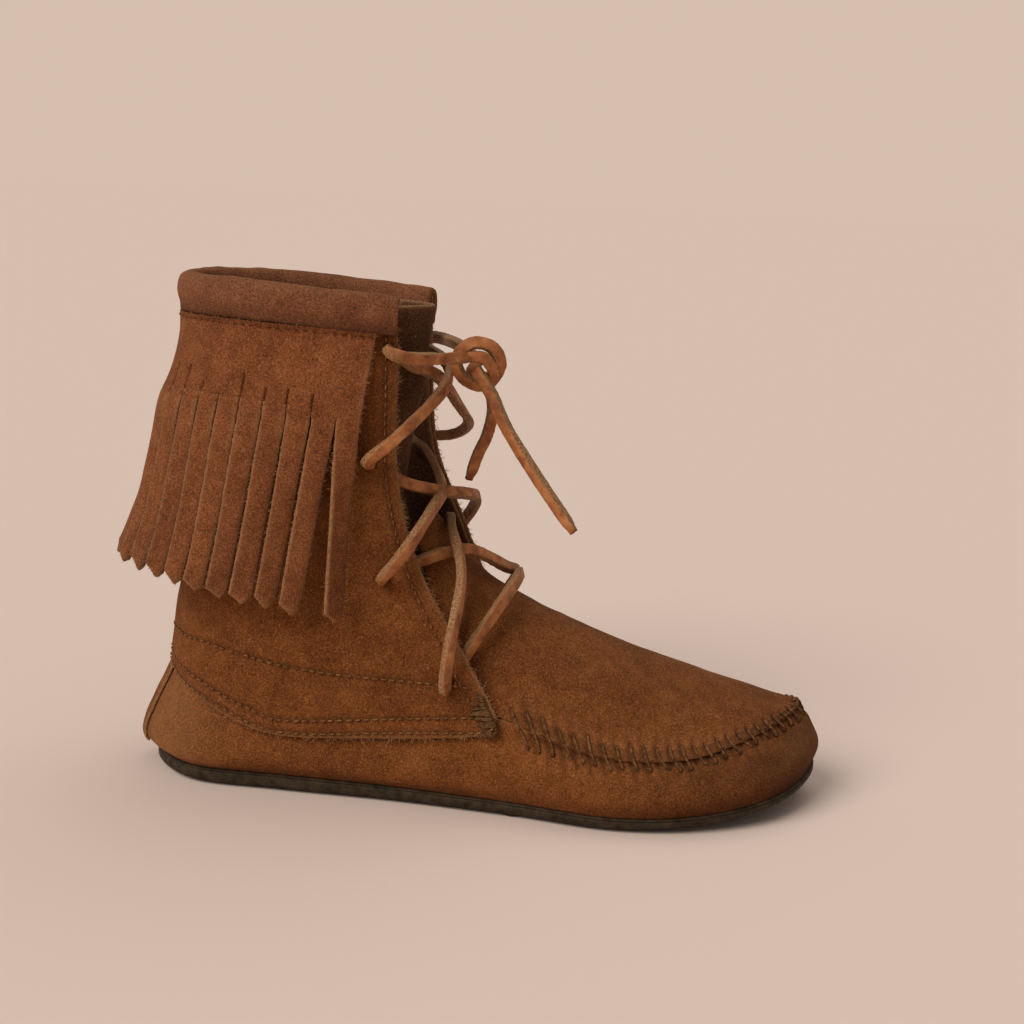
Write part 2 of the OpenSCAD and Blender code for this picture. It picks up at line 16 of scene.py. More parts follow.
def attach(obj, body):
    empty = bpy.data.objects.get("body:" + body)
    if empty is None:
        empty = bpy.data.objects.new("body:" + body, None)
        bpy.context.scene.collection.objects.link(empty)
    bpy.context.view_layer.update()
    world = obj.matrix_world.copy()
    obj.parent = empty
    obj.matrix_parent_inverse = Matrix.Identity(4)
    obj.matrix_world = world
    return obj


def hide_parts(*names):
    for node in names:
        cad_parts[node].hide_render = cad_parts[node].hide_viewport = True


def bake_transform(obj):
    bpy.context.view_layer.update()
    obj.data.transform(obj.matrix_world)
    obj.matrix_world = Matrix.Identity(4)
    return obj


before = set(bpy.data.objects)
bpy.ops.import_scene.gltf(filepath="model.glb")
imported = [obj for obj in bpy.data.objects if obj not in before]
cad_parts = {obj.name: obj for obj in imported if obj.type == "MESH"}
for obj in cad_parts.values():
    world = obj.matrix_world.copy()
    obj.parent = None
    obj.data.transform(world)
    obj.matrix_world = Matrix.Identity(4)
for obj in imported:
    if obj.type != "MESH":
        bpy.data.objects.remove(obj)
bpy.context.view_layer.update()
MM = 0.001
SUEDE_T, LINING_T, TURN_IN, GAP = 1.8, 1.2, 13.0, 0.2
SOLE_L, NUB_PITCH, HOLE_R = 242, 14.0, 2.2
FRINGE_FROM, FRINGE_TO, STRAND_L = 0.5, 7.5, 60
# Rows of stitches: the distance from one to the next, and the share of it that the thread covers.
STITCH_PITCH, ROW_FILL, EDGE_FILL, COLLAR_FILL = 3.1, 0.6, 0.58, 0.55


# ---- curves through control points, as in the CAD source ----
def unit(v):
    return v / np.maximum(np.linalg.norm(v, axis=-1, keepdims=True), 1e-9)


def mix(a, b, f):
    return a + (b - a) * f


def smooth(low, high, x):
    f = np.clip((x - low) / (high - low), 0, 1)
    return f * f * (3 - 2 * f)


def arc_length(path):
    return np.concatenate([[0], np.cumsum(np.linalg.norm(np.diff(path, axis=0), axis=1))])


def along_path(at, length, values):
    """Values of a path's points, read off at distances along it."""
    return np.stack([np.interp(at, length, values[:, k]) for k in range(3)], -1)


def curve(net, t, closed=False):
    """Points at t along a net of points (n, 3), or of one net a sample (n, samples, 3)."""
    t = np.asarray(t, float)
    n = len(net)
    if net.ndim == 2:
        def get(i):
            return net[i]
    else:
        sample = np.arange(net.shape[1])

        def get(i):
            return net[i, sample]
    if closed:
        i = np.floor(t).astype(int)
        a, b, c, d = (get((i + k) % n) for k in (-1, 0, 1, 2))
    else:
        i = np.clip(np.floor(t).astype(int), 0, n - 2)
        b, c = get(i), get(i + 1)
        a = np.where((i == 0)[:, None], 2 * b - c, get(np.maximum(i - 1, 0)))
        d = np.where((i == n - 2)[:, None], 2 * c - b, get(np.minimum(i + 2, n - 1)))
    f = (t - i)[:, None]
    return 0.5 * (2 * b + (c - a) * f + (2 * a - 5 * b + 4 * c - d) * f ** 2
                  + (3 * b - a - 3 * c + d) * f ** 3)


def grid(surface, rows, cols):
    """Points of surface(row value, column value) as an array (rows, cols, 3)."""
    r, c = np.meshgrid(np.asarray(rows, float), np.asarray(cols, float), indexing="ij")
    return surface(r.ravel(), c.ravel()).reshape(len(rows), len(cols), 3)


SOLE = np.array([[-121, 0], [-104, -26], [-70, -31], [-30, -34], [12, -40], [48, -47], [80, -42.5],
                 [107, -26], [121, 4], [112, 26], [85, 38], [50, 42], [12, 34], [-30, 26], [-70, 26],
                 [-104, 24]], float)
SOLE = np.c_[SOLE, np.zeros(len(SOLE))]
SHAFT = np.array([
    [[11, 34, 31], [-33, 29, 26], [-74, 28, 23], [-103, 20, 31], [-116.5, 0, 39],
     [-103, -22, 31.5], [-74, -33, 22], [-33, -36.5, 24], [12, -42, 29.5]],
    [[0, 30, 59], [-45, 33, 54], [-78, 31, 53], [-104, 20, 57], [-114, 0, 60],
     [-104, -21, 57], [-78, -33, 53], [-45, -36, 53], [-5.5, -36.5, 57]],
    [[-11, 25, 88], [-52, 31, 85], [-80, 31, 85], [-103, 19, 86.5], [-109.5, 0, 87],
     [-103, -19, 86.5], [-80, -31.5, 85], [-52, -33, 84], [-22, -31, 84.5]],
    [[-23, 23, 118], [-56, 32, 116], [-82, 31, 117], [-103.5, 18.5, 118], [-109, 0, 118],
     [-103.5, -18.5, 118], [-82, -32, 117], [-56, -33, 116], [-30.5, -29, 114]],
    [[-26, 24, 147], [-57, 34, 147.5], [-82, 32, 148], [-104, 19, 148], [-110, 0, 148],
     [-104, -19, 148], [-82, -33.5, 148], [-57, -35, 147.5], [-31.5, -29.5, 146]],
    [[-27, 25, 173], [-56, 35, 175], [-82, 33, 176.5], [-104.5, 19, 177], [-111, 0, 177],
     [-104.5, -19, 177], [-82, -34, 176.5], [-56, -36, 175], [-32.4, -30, 173]]])
BULGE = np.array([[-125.3, 0, 13], [-107, -27.5, 12], [-72, -34, 12], [-31, -37, 12], [12, -43, 13],
                  [47, -48, 13], [80, -43, 14], [106, -26, 18], [122, 4, 21], [112, 25.5, 19],
                  [84, 38.5, 14], [49, 43, 13], [12, 37, 13], [-31, 30, 12], [-72, 29.5, 12],
                  [-107, 25, 12]])
SEAM = np.array([[-114.3, 0, 39], [-101.5, -20.3, 31.5], [-73.5, -30.8, 22], [-33, -34.2, 24],
                 [11, -39.7, 29], [43, -42.5, 23.2], [73, -35, 21.8], [98, -18.8, 27.2],
                 [115, 5.5, 31.6], [104, 22, 30], [80, 32, 26], [46, 36, 26.5], [10, 31.7, 31],
                 [-33, 26.8, 26], [-73.5, 26, 23], [-101.5, 18.3, 31]])
LAP = np.array([[-112.5, 0, 47], [-101.5, -19.3, 40], [-75, -30.6, 31], [-36, -33.8, 32],
                [7, -38, 35], [42, -40.3, 25.2], [71.5, -33, 23.6], [96, -17.4, 28.8],
                [112.8, 5.5, 33.2], [102.3, 20.6, 30.6], [78.7, 30.4, 26.6], [45, 34.4, 27.2],
                [6, 30.4, 36], [-36, 26.8, 34], [-75, 26, 32], [-101.5, 17.8, 40]])
PLUG_RIDGE = np.array([[-21, -2, 99], [-8, 0, 83], [5, 2, 72], [40, 3, 55.5], [72, 5, 44],
                       [96, 6, 37.5], [112, 6, 33.2]])
PLUG_LATERAL = np.array([[-27, -12, 96], [-13, -30.5, 62], [7, -37, 31]], float)
PLUG_MEDIAL = np.array([[-26, 8, 96], [-11, 24, 64], [5, 29, 33]], float)
TONGUE = np.array([[-25.5, -5, 74], [-32.5, -6, 92], [-30.5, -8, 112], [-26.5, -8, 140],
                   [-22.5, -7, 172]])
HOLES = {"lateral": [[-10, -40, 46.5], [-33.8, -34, 80.5], [-40, -32, 120], [-34, -33, 157.5]],
         "medial": [[-5.5, 31, 46.5], [-19.6, 27, 81.6], [-33.8, 27, 119.8], [-34.5, 27.5, 157.5]]}
ROLL = np.array([[0.2, -9.5], [1.9, -9.3], [2.9, -5], [2.5, -1], [1, 2], [-1.4, 2.8], [-3.9, 1.6],
                 [-4.9, -2], [-4.4, -7.5], [-2.2, -7.7], [-2.1, 0.3], [0.2, 0.3]])
LACE = np.array([
    [-10, -15, 155.5], [-17, -26, 155.5], [-29, -38, 156.5], [-33.5, -37, 158], [-34, -27.5, 157],
    [-27.5, -22, 152], [-21, -5, 147], [-15, 12, 135], [-12.5, 24, 127], [-19, 31, 121.5],
    [-33, 31, 120], [-32.5, 21.5, 119.5], [-25, 8, 117], [-18, -6, 108], [-20, -23, 102],
    [-27, -37, 90], [-33.7, -38, 81.5], [-32.5, -29, 80.5], [-24, -24, 84.5], [-8.5, -10, 87],
    [5, 4, 78.5], [8.5, 22, 72], [3, 35, 60], [-4.8, 36, 47], [-4.5, 27, 47.5], [2, 25, 60],
    [9.5, 10, 74.5], [9.5, -6, 75.5], [4.5, -24, 69.5], [-3, -31.5, 58], [-9.5, -34.5, 47],
    [-10.5, -44, 46], [-9.5, -43, 60], [-8, -26, 81], [-13.5, -8, 93.5], [-16.5, 9, 94],
    [-19, 22, 83], [-19.5, 31.5, 81.5], [-12, 30, 91], [-8, 22, 99.5], [-10, 6, 104],
    [-19, -10, 107.5], [-30, -21.5, 112], [-38.5, -26.5, 118.5], [-40, -36, 121], [-30, -36.5, 130],
    [-18, -18, 143.5], [-18.5, 0, 151], [-30, 18, 155.5], [-34, 22.5, 157.5], [-34, 32.5, 157.5],
    [-24, 31, 157], [-13, 8, 156], [-7, -5, 153.5]])
KNOT = np.array([[-10, -15, 155.5], [-4, -14, 155], [-1, -11, 149], [-6, -8, 145], [-12, -10, 148],
                 [-14, -13, 154], [-9, -15, 160], [-2, -13, 159], [1, -11, 153], [-3, -8, 146],
                 [-9, -6, 149], [-7, -5, 153.5]])
END_A = np.array([[-7, -14, 151], [-1, -17, 143], [5, -20, 132], [17, -26, 116], [30, -32, 100]], float)
END_B = np.array([[-5, -8, 149], [-1.5, -5, 139], [-3, 1, 128], [-7, 5, 118], [-10, 8, 109]], float)


# ---- surfaces of the boot ----
def sole_bottom(x):
    return 1.2 + 8 * (np.maximum(x - 40, 0) / 80) ** 2


def sole_top(x):
    return sole_bottom(x) + mix(5, 3.4, np.clip((x + 60) / 140, 0, 1))


def sole_inset(t, d):
    along = unit(curve(SOLE, t + 0.02, True) - curve(SOLE, t - 0.02, True))
    inward = np.stack([-along[:, 1], along[:, 0], np.zeros(len(t))], -1)
    return curve(SOLE, t, True) + inward * np.reshape(d, (-1, 1))


def shaft_at(w, u):
    return curve(np.stack([curve(level, u) for level in SHAFT]), w)


def shaft_normal(w, u):
    e = 0.04
    side = shaft_at(w, np.minimum(u + e, 8)) - shaft_at(w, np.maximum(u - e, 0))
    up = shaft_at(np.minimum(w + e, 5), u) - shaft_at(np.maximum(w - e, 0), u)
    return unit(np.cross(side, up))


def shaft_off(w, u, d):
    return shaft_at(w, u) + np.reshape(d, (-1, 1)) * shaft_normal(w, u)


def wall_at(w, t):
    """The wrap's wall: w 0 at the sole, 1 at the bulge, 2 at the seam, 3 at its top edge."""
    low = sole_inset(t, 0.6)
    low[:, 2] = sole_top(low[:, 0]) + GAP
    return curve(np.stack([low, *(curve(net, t, True) for net in (BULGE, SEAM, LAP))]), w)


def plug_at(s, c):
    """The plug: s runs from behind the laces to the toe, c from its outer edge -1 to its inner 1."""
    def side(net, at):
        edge = curve(LAP, at, True) + [0, 0, SUEDE_T / 2]
        start = curve(LAP, at + np.sign(at - 8) * np.maximum(2 - s, 0), True) + [0, 0, SUEDE_T / 2]
        hidden = mix(curve(net, np.minimum(s, 2)), start, smooth(1.2, 2.0, s)[:, None])
        return np.where((s < 2)[:, None], hidden, edge)
    a, b = side(PLUG_LATERAL, s + 2), side(PLUG_MEDIAL, 14 - s)
    lift = curve(PLUG_RIDGE, s) - (a + b) / 2
    return mix(a, b, (c[:, None] + 1) / 2) + lift * np.maximum(1 - c * c, 0)[:, None] ** 0.88


def back_share(u):
    return np.cos(np.radians(np.clip((u - 4) * 30, -90, 90))) ** 2


def skirt_at(v, u):
    w = mix(4.62, 3.7 - 0.2 * ((u - 4) / 3.5) ** 4, v)
    k = u + 0.22 * (1 - v) * ((u - 4) / 3.5) ** 3
    return shaft_off(w, k, 2.1 + (3 + 4 * back_share(u)) * v * v)


# ---- seeded noise ----
def value_noise(p, size, seed):
    """Smooth noise from -1 to 1 with bumps about size across."""
    q = np.asarray(p, float) / size + seed * 13.7
    cell = np.floor(q).astype(np.int64)
    f = q - cell
    f = f * f * (3 - 2 * f)
    total = np.zeros(q.shape[:-1])
    for corner in np.ndindex(2, 2, 2):
        x, y, z = (cell[..., k] + corner[k] for k in range(3))
        h = (x * 73856093) ^ (y * 19349663) ^ (z * 83492791) ^ (seed * 2654435)
        h = ((h ^ (h >> 13)) * 1274126177) & 0xFFFFFFF
        weight = np.prod([f[..., k] if corner[k] else 1 - f[..., k] for k in range(3)], axis=0)
        total += weight * (h / 0x7FFFFFF - 1)
    return total


def dents(p, seed, amount=1.0):
    """The soft unevenness of worn suede, in millimetres."""
    return amount * (0.75 * value_noise(p, 34, seed) + 0.32 * value_noise(p, 13, seed + 1)
                     + 0.12 * value_noise(p, 5, seed + 2) + 0.05 * value_noise(p, 2.2, seed + 3))


def distance_to(p, targets):
    tree = KDTree(len(targets))
    for i, target in enumerate(targets):
        tree.insert(target, i)
    tree.balance()
    return np.array([tree.find(q)[2] for q in p.reshape(-1, 3)]).reshape(p.shape[:-1])


# ---- materials ----
def put(tree, socket, value):
    if isinstance(value, bpy.types.NodeSocket):
        tree.links.new(value, socket)
    else:
        socket.default_value = value


def material_base(name, roughness, specular, sheen=0.0, sheen_tint=(1, 1, 1, 1)):
    material = bpy.data.materials.new(name)
    material.use_nodes = True
    tree = material.node_tree
    tree.nodes.clear()
    shader = tree.nodes.new("ShaderNodeBsdfPrincipled")
    out = tree.nodes.new("ShaderNodeOutputMaterial")
    tree.links.new(shader.outputs[0], out.inputs[0])
    shader.inputs["Roughness"].default_value = roughness
    shader.inputs["Sheen Weight"].default_value = sheen
    shader.inputs["Sheen Roughness"].default_value = 0.55
    shader.inputs["Sheen Tint"].default_value = sheen_tint
    shader.inputs["Specular IOR Level"].default_value = specular
    return material, tree, shader


def noise(tree, scale, detail=3.0, rough=0.5, distortion=0.0):
    where = tree.nodes.new("ShaderNodeTexCoord")
    node = tree.nodes.new("ShaderNodeTexNoise")
    tree.links.new(where.outputs["Object"], node.inputs["Vector"])
    for key, value in (("Scale", scale), ("Detail", detail), ("Roughness", rough),
                       ("Distortion", distortion)):
        node.inputs[key].default_value = value
    return node.outputs["Fac"]


def ramp(tree, factor, stops):
    node = tree.nodes.new("ShaderNodeValToRGB")
    tree.links.new(factor, node.inputs[0])
    elements = node.color_ramp.elements
    while len(elements) < len(stops):
        elements.new(0.5)
    for element, (position, colour) in zip(elements, stops):
        element.position = position
        element.color = (*colour, 1) if len(colour) == 3 else colour
    return node.outputs[0]


def blend_colour(tree, mode, factor, a, b):
    node = tree.nodes.new("ShaderNodeMix")
    node.data_type, node.blend_type = "RGBA", mode
    put(tree, node.inputs[0], factor)
    put(tree, node.inputs[6], a)
    put(tree, node.inputs[7], b)
    return node.outputs[2]


def compute(tree, operation, a, b=0.0, c=0.0):
    node = tree.nodes.new("ShaderNodeMath")
    node.operation = operation
    for socket, value in zip(node.inputs, (a, b, c)):
        put(tree, socket, value)
    return node.outputs[0]


def attribute(tree, name):
    node = tree.nodes.new("ShaderNodeAttribute")
    node.attribute_name = name
    return node.outputs["Fac"]


def bump(tree, shader, layers):
    """Layers of (height socket, distance in mm, strength), one over the other."""
    normal = None
    for height, distance, strength in layers:
        node = tree.nodes.new("ShaderNodeBump")
        node.inputs["Strength"].default_value = strength
        node.inputs["Distance"].default_value = distance * MM
        tree.links.new(height, node.inputs["Height"])
        if normal:
            tree.links.new(normal, node.inputs["Normal"])
        normal = node.outputs[0]
    tree.links.new(normal, shader.inputs["Normal"])


FIBRE = (0.40, 0.215, 0.098, 1)
NAP = 1650.0


def suede(name, dark, mid, light):
    """Brushed leather: blotches where the nap lies either way, grain, pale stray fibres and worn edges, with
    painted light and shade from the mesh's attributes.
    """
    material, tree, shader = material_base(name, 0.92, 0.08, 0.07, (1.0, 0.55, 0.30, 1))
    blotch = noise(tree, 26, 4, 0.6, 0.6)
    patch = noise(tree, 150, 4, 0.65)
    grain = noise(tree, NAP, 3, 0.75)
    level = compute(tree, "MULTIPLY_ADD", blotch, 0.17, compute(tree, "MULTIPLY_ADD", patch, 0.20,
                    compute(tree, "MULTIPLY", grain, 0.63)))
    colour = ramp(tree, level, [(0.365, dark), (0.5, mid), (0.635, light)])
    pits = ramp(tree, noise(tree, NAP * 0.7, 2, 0.6), [(0.30, (1, 1, 1)), (0.41, (0, 0, 0))])
    pits = compute(tree, "MULTIPLY", pits, 0.34)
    colour = blend_colour(tree, "MULTIPLY", pits, colour, (0.42, 0.36, 0.32, 1))
    specks = ramp(tree, noise(tree, NAP * 1.2, 1, 0.5), [(0.62, (0, 0, 0)), (0.74, (1, 1, 1))])
    colour = blend_colour(tree, "MIX", compute(tree, "MULTIPLY", specks, 0.55), colour, FIBRE)
    # Paler by the mesh's wear attribute: worn edges and stray fibres, and painted light at the wrap's heel.
    worn = compute(tree, "MULTIPLY", attribute(tree, "wear"), ramp(tree, noise(tree, 900, 3, 0.7),
                   [(0.30, (0.25, 0.25, 0.25)), (0.62, (1, 1, 1))]))
    colour = blend_colour(tree, "MIX", worn, colour, FIBRE)
    # Darker by the mesh's dark attribute: mostly painted shade, in stitch holes and seams, under the collar
    # roll, in the slits, between strands and towards the toe.
    colour = blend_colour(tree, "MULTIPLY", attribute(tree, "dark"), colour, (0.16, 0.12, 0.10, 1))
    put(tree, shader.inputs["Base Color"], colour)
    bump(tree, shader, [(patch, 0.5, 0.5), (grain, 0.35, 0.75)])
    return material


def thread_material(name, dark, light):
    material, tree, shader = material_base(name, 0.8, 0.1)
    tone = noise(tree, 700, 3, 0.7)
    put(tree, shader.inputs["Base Color"], ramp(tree, tone, [(0.35, dark), (0.66, light)]))
    bump(tree, shader, [(noise(tree, 3500, 2, 0.6), 0.12, 0.7)])
    return material


def plain_material(name, dark, light, scale, roughness, depth):
    material, tree, shader = material_base(name, roughness, 0.12)
    tone = noise(tree, scale, 5, 0.65)
    put(tree, shader.inputs["Base Color"], ramp(tree, tone, [(0.34, dark), (0.66, light)]))
    bump(tree, shader, [(noise(tree, scale * 8, 4, 0.6), depth, 0.6)])
    return material


def rawhide_material(name):
    """The thong: smooth orange grain on one face, pale fuzzy flesh on the cut faces."""
    material, tree, shader = material_base(name, 0.6, 0.25)
    tone = noise(tree, 190, 4, 0.6)
    grain = ramp(tree, tone, [(0.34, (0.22, 0.072, 0.022)), (0.5, (0.38, 0.130, 0.040)),
                           (0.68, (0.52, 0.210, 0.075))])
    flesh = ramp(tree, noise(tree, 1500, 3, 0.7), [
        (0.33, (0.13, 0.058, 0.021)), (0.5, (0.29, 0.138, 0.053)), (0.68, (0.46, 0.25, 0.115))])
    share = ramp(tree, attribute(tree, "grain"), [(0.42, (0, 0, 0)), (0.58, (1, 1, 1))])
    put(tree, shader.inputs["Base Color"], blend_colour(tree, "MIX", share, flesh, grain))
    bump(tree, shader, [(noise(tree, 1600, 3, 0.7), 0.2, 0.6)])
    return material


MATERIALS = {name: make(name, *values) for name, make, values in (
    ("suede", suede, ((0.062, 0.0185, 0.0044), (0.165, 0.049, 0.0112), (0.320, 0.110, 0.029))),
    ("suede_skirt", suede, ((0.072, 0.0215, 0.0075), (0.205, 0.062, 0.0205), (0.380, 0.135, 0.052))),
    ("suede_dark", suede, ((0.030, 0.011, 0.005), (0.070, 0.026, 0.012), (0.125, 0.050, 0.024))),
    ("suede_collar", suede, ((0.078, 0.0265, 0.0115), (0.200, 0.070, 0.0300), (0.350, 0.140, 0.066))),
    ("outsole_rubber", plain_material, ((0.020, 0.013, 0.007), (0.060, 0.038, 0.020), 300, 0.6, 0.2)),
    ("board", plain_material, ((0.32, 0.22, 0.13), (0.45, 0.33, 0.20), 500, 0.9, 0.1)),
    ("foam", plain_material, ((0.50, 0.42, 0.26), (0.62, 0.54, 0.36), 800, 0.95, 0.3)),
    ("stiffener", plain_material, ((0.30, 0.20, 0.12), (0.40, 0.29, 0.18), 600, 0.9, 0.1)),
    ("rawhide", rawhide_material, ()),
    ("thick_thread", thread_material, ((0.052, 0.021, 0.0075), (0.235, 0.106, 0.041))),
    ("thread", thread_material, ((0.110, 0.042, 0.013), (0.32, 0.150, 0.060))),
    ("tack_thread", thread_material, ((0.050, 0.022, 0.008), (0.19, 0.094, 0.036))),
    ("hidden_thread", thread_material, ((0.060, 0.020, 0.007), (0.17, 0.062, 0.022))),
)}


# ---- meshes ----
def add_piece(name, vertices, faces, material, slot, nodes=(), body="boot", mend=True, **attributes):
    mesh = bpy.data.meshes.new(name)
    points = (np.asarray(vertices).reshape(-1, 3) * MM).tolist()
    mesh.from_pydata(points, [], [list(map(int, f)) for f in faces])
    for key, values in attributes.items():
        layer = mesh.attributes.new(key, "FLOAT", "POINT")
        layer.data.foreach_set("value", np.ascontiguousarray(values, np.float32).ravel())
    if mend:
        work = bmesh.new()
        work.from_mesh(mesh)
        bmesh.ops.recalc_face_normals(work, faces=work.faces)
        work.to_mesh(mesh)
        work.free()
    mesh.polygons.foreach_set("use_smooth", [True] * len(mesh.polygons))
    mesh.materials.append(MATERIALS[material])
    mesh.update()
    piece = bpy.data.objects.new(name, mesh)
    bpy.context.scene.collection.objects.link(piece)
    if body:
        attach(piece, body)
    if nodes:
        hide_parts(*nodes)
    return piece


def grid_faces(rows, cols, closed=False):
    r, c = np.meshgrid(np.arange(rows - 1), np.arange(cols if closed else cols - 1), indexing="ij")
    a, b = r * cols + c, r * cols + (c + 1) % cols
    return np.stack([a, b, b + cols, a + cols], -1).reshape(-1, 4)


def tube_faces(rows, cols):
    """Faces of a closed tube of rings, with a cap at each end."""
    return grid_faces(rows, cols, True).tolist() + [list(range(cols))[::-1],
                                                    list(range((rows - 1) * cols, rows * cols))]


def shell_faces(rows, cols, closed=False):
    """Faces of a closed skin: an outer grid, an inner grid after it, and the strips round their edges."""
    n = rows * cols
    outer = grid_faces(rows, cols, closed)
    c = np.arange(cols if closed else cols - 1)
    d = (c + 1) % cols
    top = (rows - 1) * cols
    strips = [np.stack([c + row, d + row, d + row + n, c + row + n], -1) for row in (0, top)]
    if not closed:
        a = np.arange(rows - 1) * cols
        for e in (a, a + cols - 1):
            strips.append(np.stack([e, e + cols, e + cols + n, e + n], -1))
    return np.concatenate([outer, outer[:, ::-1] + n, *strips])


def grid_normals(points, closed=False):
    if closed:
        side = np.roll(points, -1, 1) - np.roll(points, 1, 1)
    else:
        side = np.gradient(points, axis=1)
    return unit(np.cross(side, np.gradient(points, axis=0)))


def steps(count, length, low=True, high=True):
    """Values from 0 to 1 with extra ones close to the raw edges, where the cut edge is rounded."""
    near = np.array([0.12, 0.35, 0.8]) / length
    all_steps = [np.linspace(0, 1, count), near if low else [], 1 - near if high else []]
    return np.unique(np.round(np.concatenate(all_steps), 6))


def edge_distance(points, raw):
    """Distance in mm from each grid point to the nearest raw edge: b(ottom), t(op), l(eft), r(ight)."""
    up, side = (np.cumsum(np.linalg.norm(np.diff(points, axis=k, prepend=first), axis=-1), k)
                for k, first in ((0, points[:1]), (1, points[:, :1])))
    found = {"b": up, "t": up[-1:] - up, "l": side, "r": side[:, -1:] - side}
    return np.min([found[k] for k in raw], axis=0) if raw else np.full(points.shape[:2], 99.0)


def hide(name, points, thick, material, slot, nodes=(), raw="btlr", closed=False, out=0.0, dark=0.0,
         wear=0.0, ragged=0.22, seed=1, body="boot"):
    """A sheet of leather from the grid of its outer face, with rounded and slightly torn raw edges."""
    normal = grid_normals(points, closed)
    edge = edge_distance(points, raw)
    radius = 0.46 * thick
    x = np.clip(edge / radius, 0, 1)
    pull = radius * (1 - np.sqrt(np.maximum(1 - (1 - x) ** 2, 0)))
    torn = np.exp(-edge / 0.3)[..., None] * ragged * np.stack(
        [value_noise(points, 0.9, seed + k) for k in (50, 51, 52)], -1)
    front = points + normal * (out - pull)[..., None] + torn
    back = points - normal * (thick - pull)[..., None] + torn
    # Raw edges are worn paler, and the wear passed in is added; on the wrap it holds painted light at the
    # heel.
    edge_wear = np.clip(np.exp(-edge / 0.5) * 0.8 + np.exp(-edge / 1.5) * 0.1 + wear, 0, 1)
    dark = dark + np.zeros_like(edge)
    return add_piece(name, np.concatenate([front.reshape(-1, 3), back.reshape(-1, 3)]),
                     shell_faces(*points.shape[:2], closed), material, slot, nodes, body,
                     wear=np.concatenate([edge_wear, edge_wear]), dark=np.concatenate([dark, dark * 0.6]))


def tubes(paths, ups, radius, sides=8, ply=0.0, turns=2.5):
    """Many round threads at once. paths is (threads, points, 3), ups a side direction for each.

    radius is one number, one a point, or one a thread as (threads, 1)."""
    k, n = paths.shape[:2]
    along = unit(np.gradient(paths, axis=1))
    a = unit(np.cross(along, np.broadcast_to(ups.reshape(k, -1, 3), paths.shape)))
    b = np.cross(a, along)
    angle = np.arange(sides) * 2 * np.pi / sides
    f = np.linspace(0, 1, n)
    size = np.broadcast_to(np.asarray(radius, float), (k, n)).copy()
    size[:, 0] *= 0.55
    size[:, -1] *= 0.55
    twist = 1 + ply * np.cos(2 * angle[None, :] - 2 * np.pi * turns * f[:, None])
    around = np.cos(angle)[:, None] * a[:, :, None] + np.sin(angle)[:, None] * b[:, :, None]
    ring = (size[:, :, None] * twist[None])[..., None] * around
    one = tube_faces(n, sides)
    faces = [[i + t * n * sides for i in face]
             for part in (one[:-2], one[-2:]) for t in range(k) for face in part]
    return (paths[:, :, None] + ring).reshape(-1, 3), faces


def add_fibres(piece, points, thick, raw, per_mm, reach, seed):
    """Loose fibres standing out of a sheet's raw edges, each a thin hair, joined to the sheet."""
    rng = np.random.default_rng(seed)
    normal = grid_normals(points)
    edges = {"b": (points[0], points[1], normal[0]), "t": (points[-1], points[-2], normal[-1]),
             "l": (points[:, 0], points[:, 1], normal[:, 0]),
             "r": (points[:, -1], points[:, -2], normal[:, -1])}
    f = np.linspace(0, 1, 5)[None, :, None]
    hairs = []
    for key in raw:
        edge, inner, up = edges[key]
        length = arc_length(edge)
        n = int(length[-1] * per_mm)
        at = rng.uniform(0, length[-1], n)
        start, away, face = (along_path(at, length, v) for v in (edge, edge - inner, up))
        away, face = unit(away), unit(face)
        along = np.cross(face, away)
        lean, curl = (along * rng.uniform(-a, a, (n, 1)) + face * rng.uniform(-b, b, (n, 1))
                      for a, b in ((1.1, 0.5), (0.8, 0.6)))
        size = reach * rng.uniform(0.35, 1.0, (n, 1)) ** 2
        base = start - 0.3 * away - face * thick * rng.uniform(0.05, 0.9, (n, 1))
        hairs.append(base[:, None] + ((away + lean) * size + 0.3 * away)[:, None] * f
                     + (curl * size)[:, None] * f ** 2)
    hairs = np.concatenate(hairs)
    taper = [0.10, 0.10, 0.085, 0.06, 0.045]
    vertices, faces = tubes(hairs, unit(rng.normal(size=(len(hairs), 3))), taper, 3)
    mesh = bpy.data.meshes.new("fibres")
    mesh.from_pydata((vertices * MM).tolist(), [], faces)
    for key, value in (("wear", 1.0), ("dark", 0.0)):
        layer = mesh.attributes.new(key, "FLOAT", "POINT")
        layer.data.foreach_set("value", np.full(len(vertices), value, np.float32))
    work = bmesh.new()
    work.from_mesh(mesh)
    bmesh.ops.recalc_face_normals(work, faces=work.faces)
    work.from_mesh(piece.data)
    work.to_mesh(piece.data)
    work.free()
    bpy.data.meshes.remove(mesh)


def row_stitches(path, normal, fill, lift, seed):
    """Paths of running stitches along a row. Each comes up, lies on the leather and goes down again."""
    length = arc_length(path)
    n = int(length[-1] / STITCH_PITCH)
    rng = np.random.default_rng(seed)
    start = (np.arange(n) + 0.2) * length[-1] / n + rng.uniform(-0.1, 0.1, n) * STITCH_PITCH
    f = np.linspace(0, 1, 8)
    at = start[:, None] + f * fill * STITCH_PITCH * rng.uniform(0.88, 1.1, (n, 1))
    p, m = along_path(at, length, path), unit(along_path(at, length, normal))
    side = unit(np.cross(m, np.gradient(p, axis=1)))
    sink = 0.45
    height = lift - (lift + sink) * np.abs(2 * f - 1) ** 5
    lean = rng.uniform(-0.12, 0.12, (n, 1)) * (f - 0.5)
    return p + m * height[None, :, None] + side * lean[..., None], m


# ---- camera, lights and floor ----
CAMERA_AT, CAMERA_LENS = (0.0429, -0.5570, 0.2109), 56.04
CAMERA_TURN = (3.72, 11.3, 2.63)  # azimuth, downward pitch and roll, in degrees
BACKGROUND = (0.672, 0.521, 0.429, 1)
SKY_LIGHT = (0.30, 0.285, 0.275, 1)
SUN_COLOUR = (1.0, 0.97, 0.94)


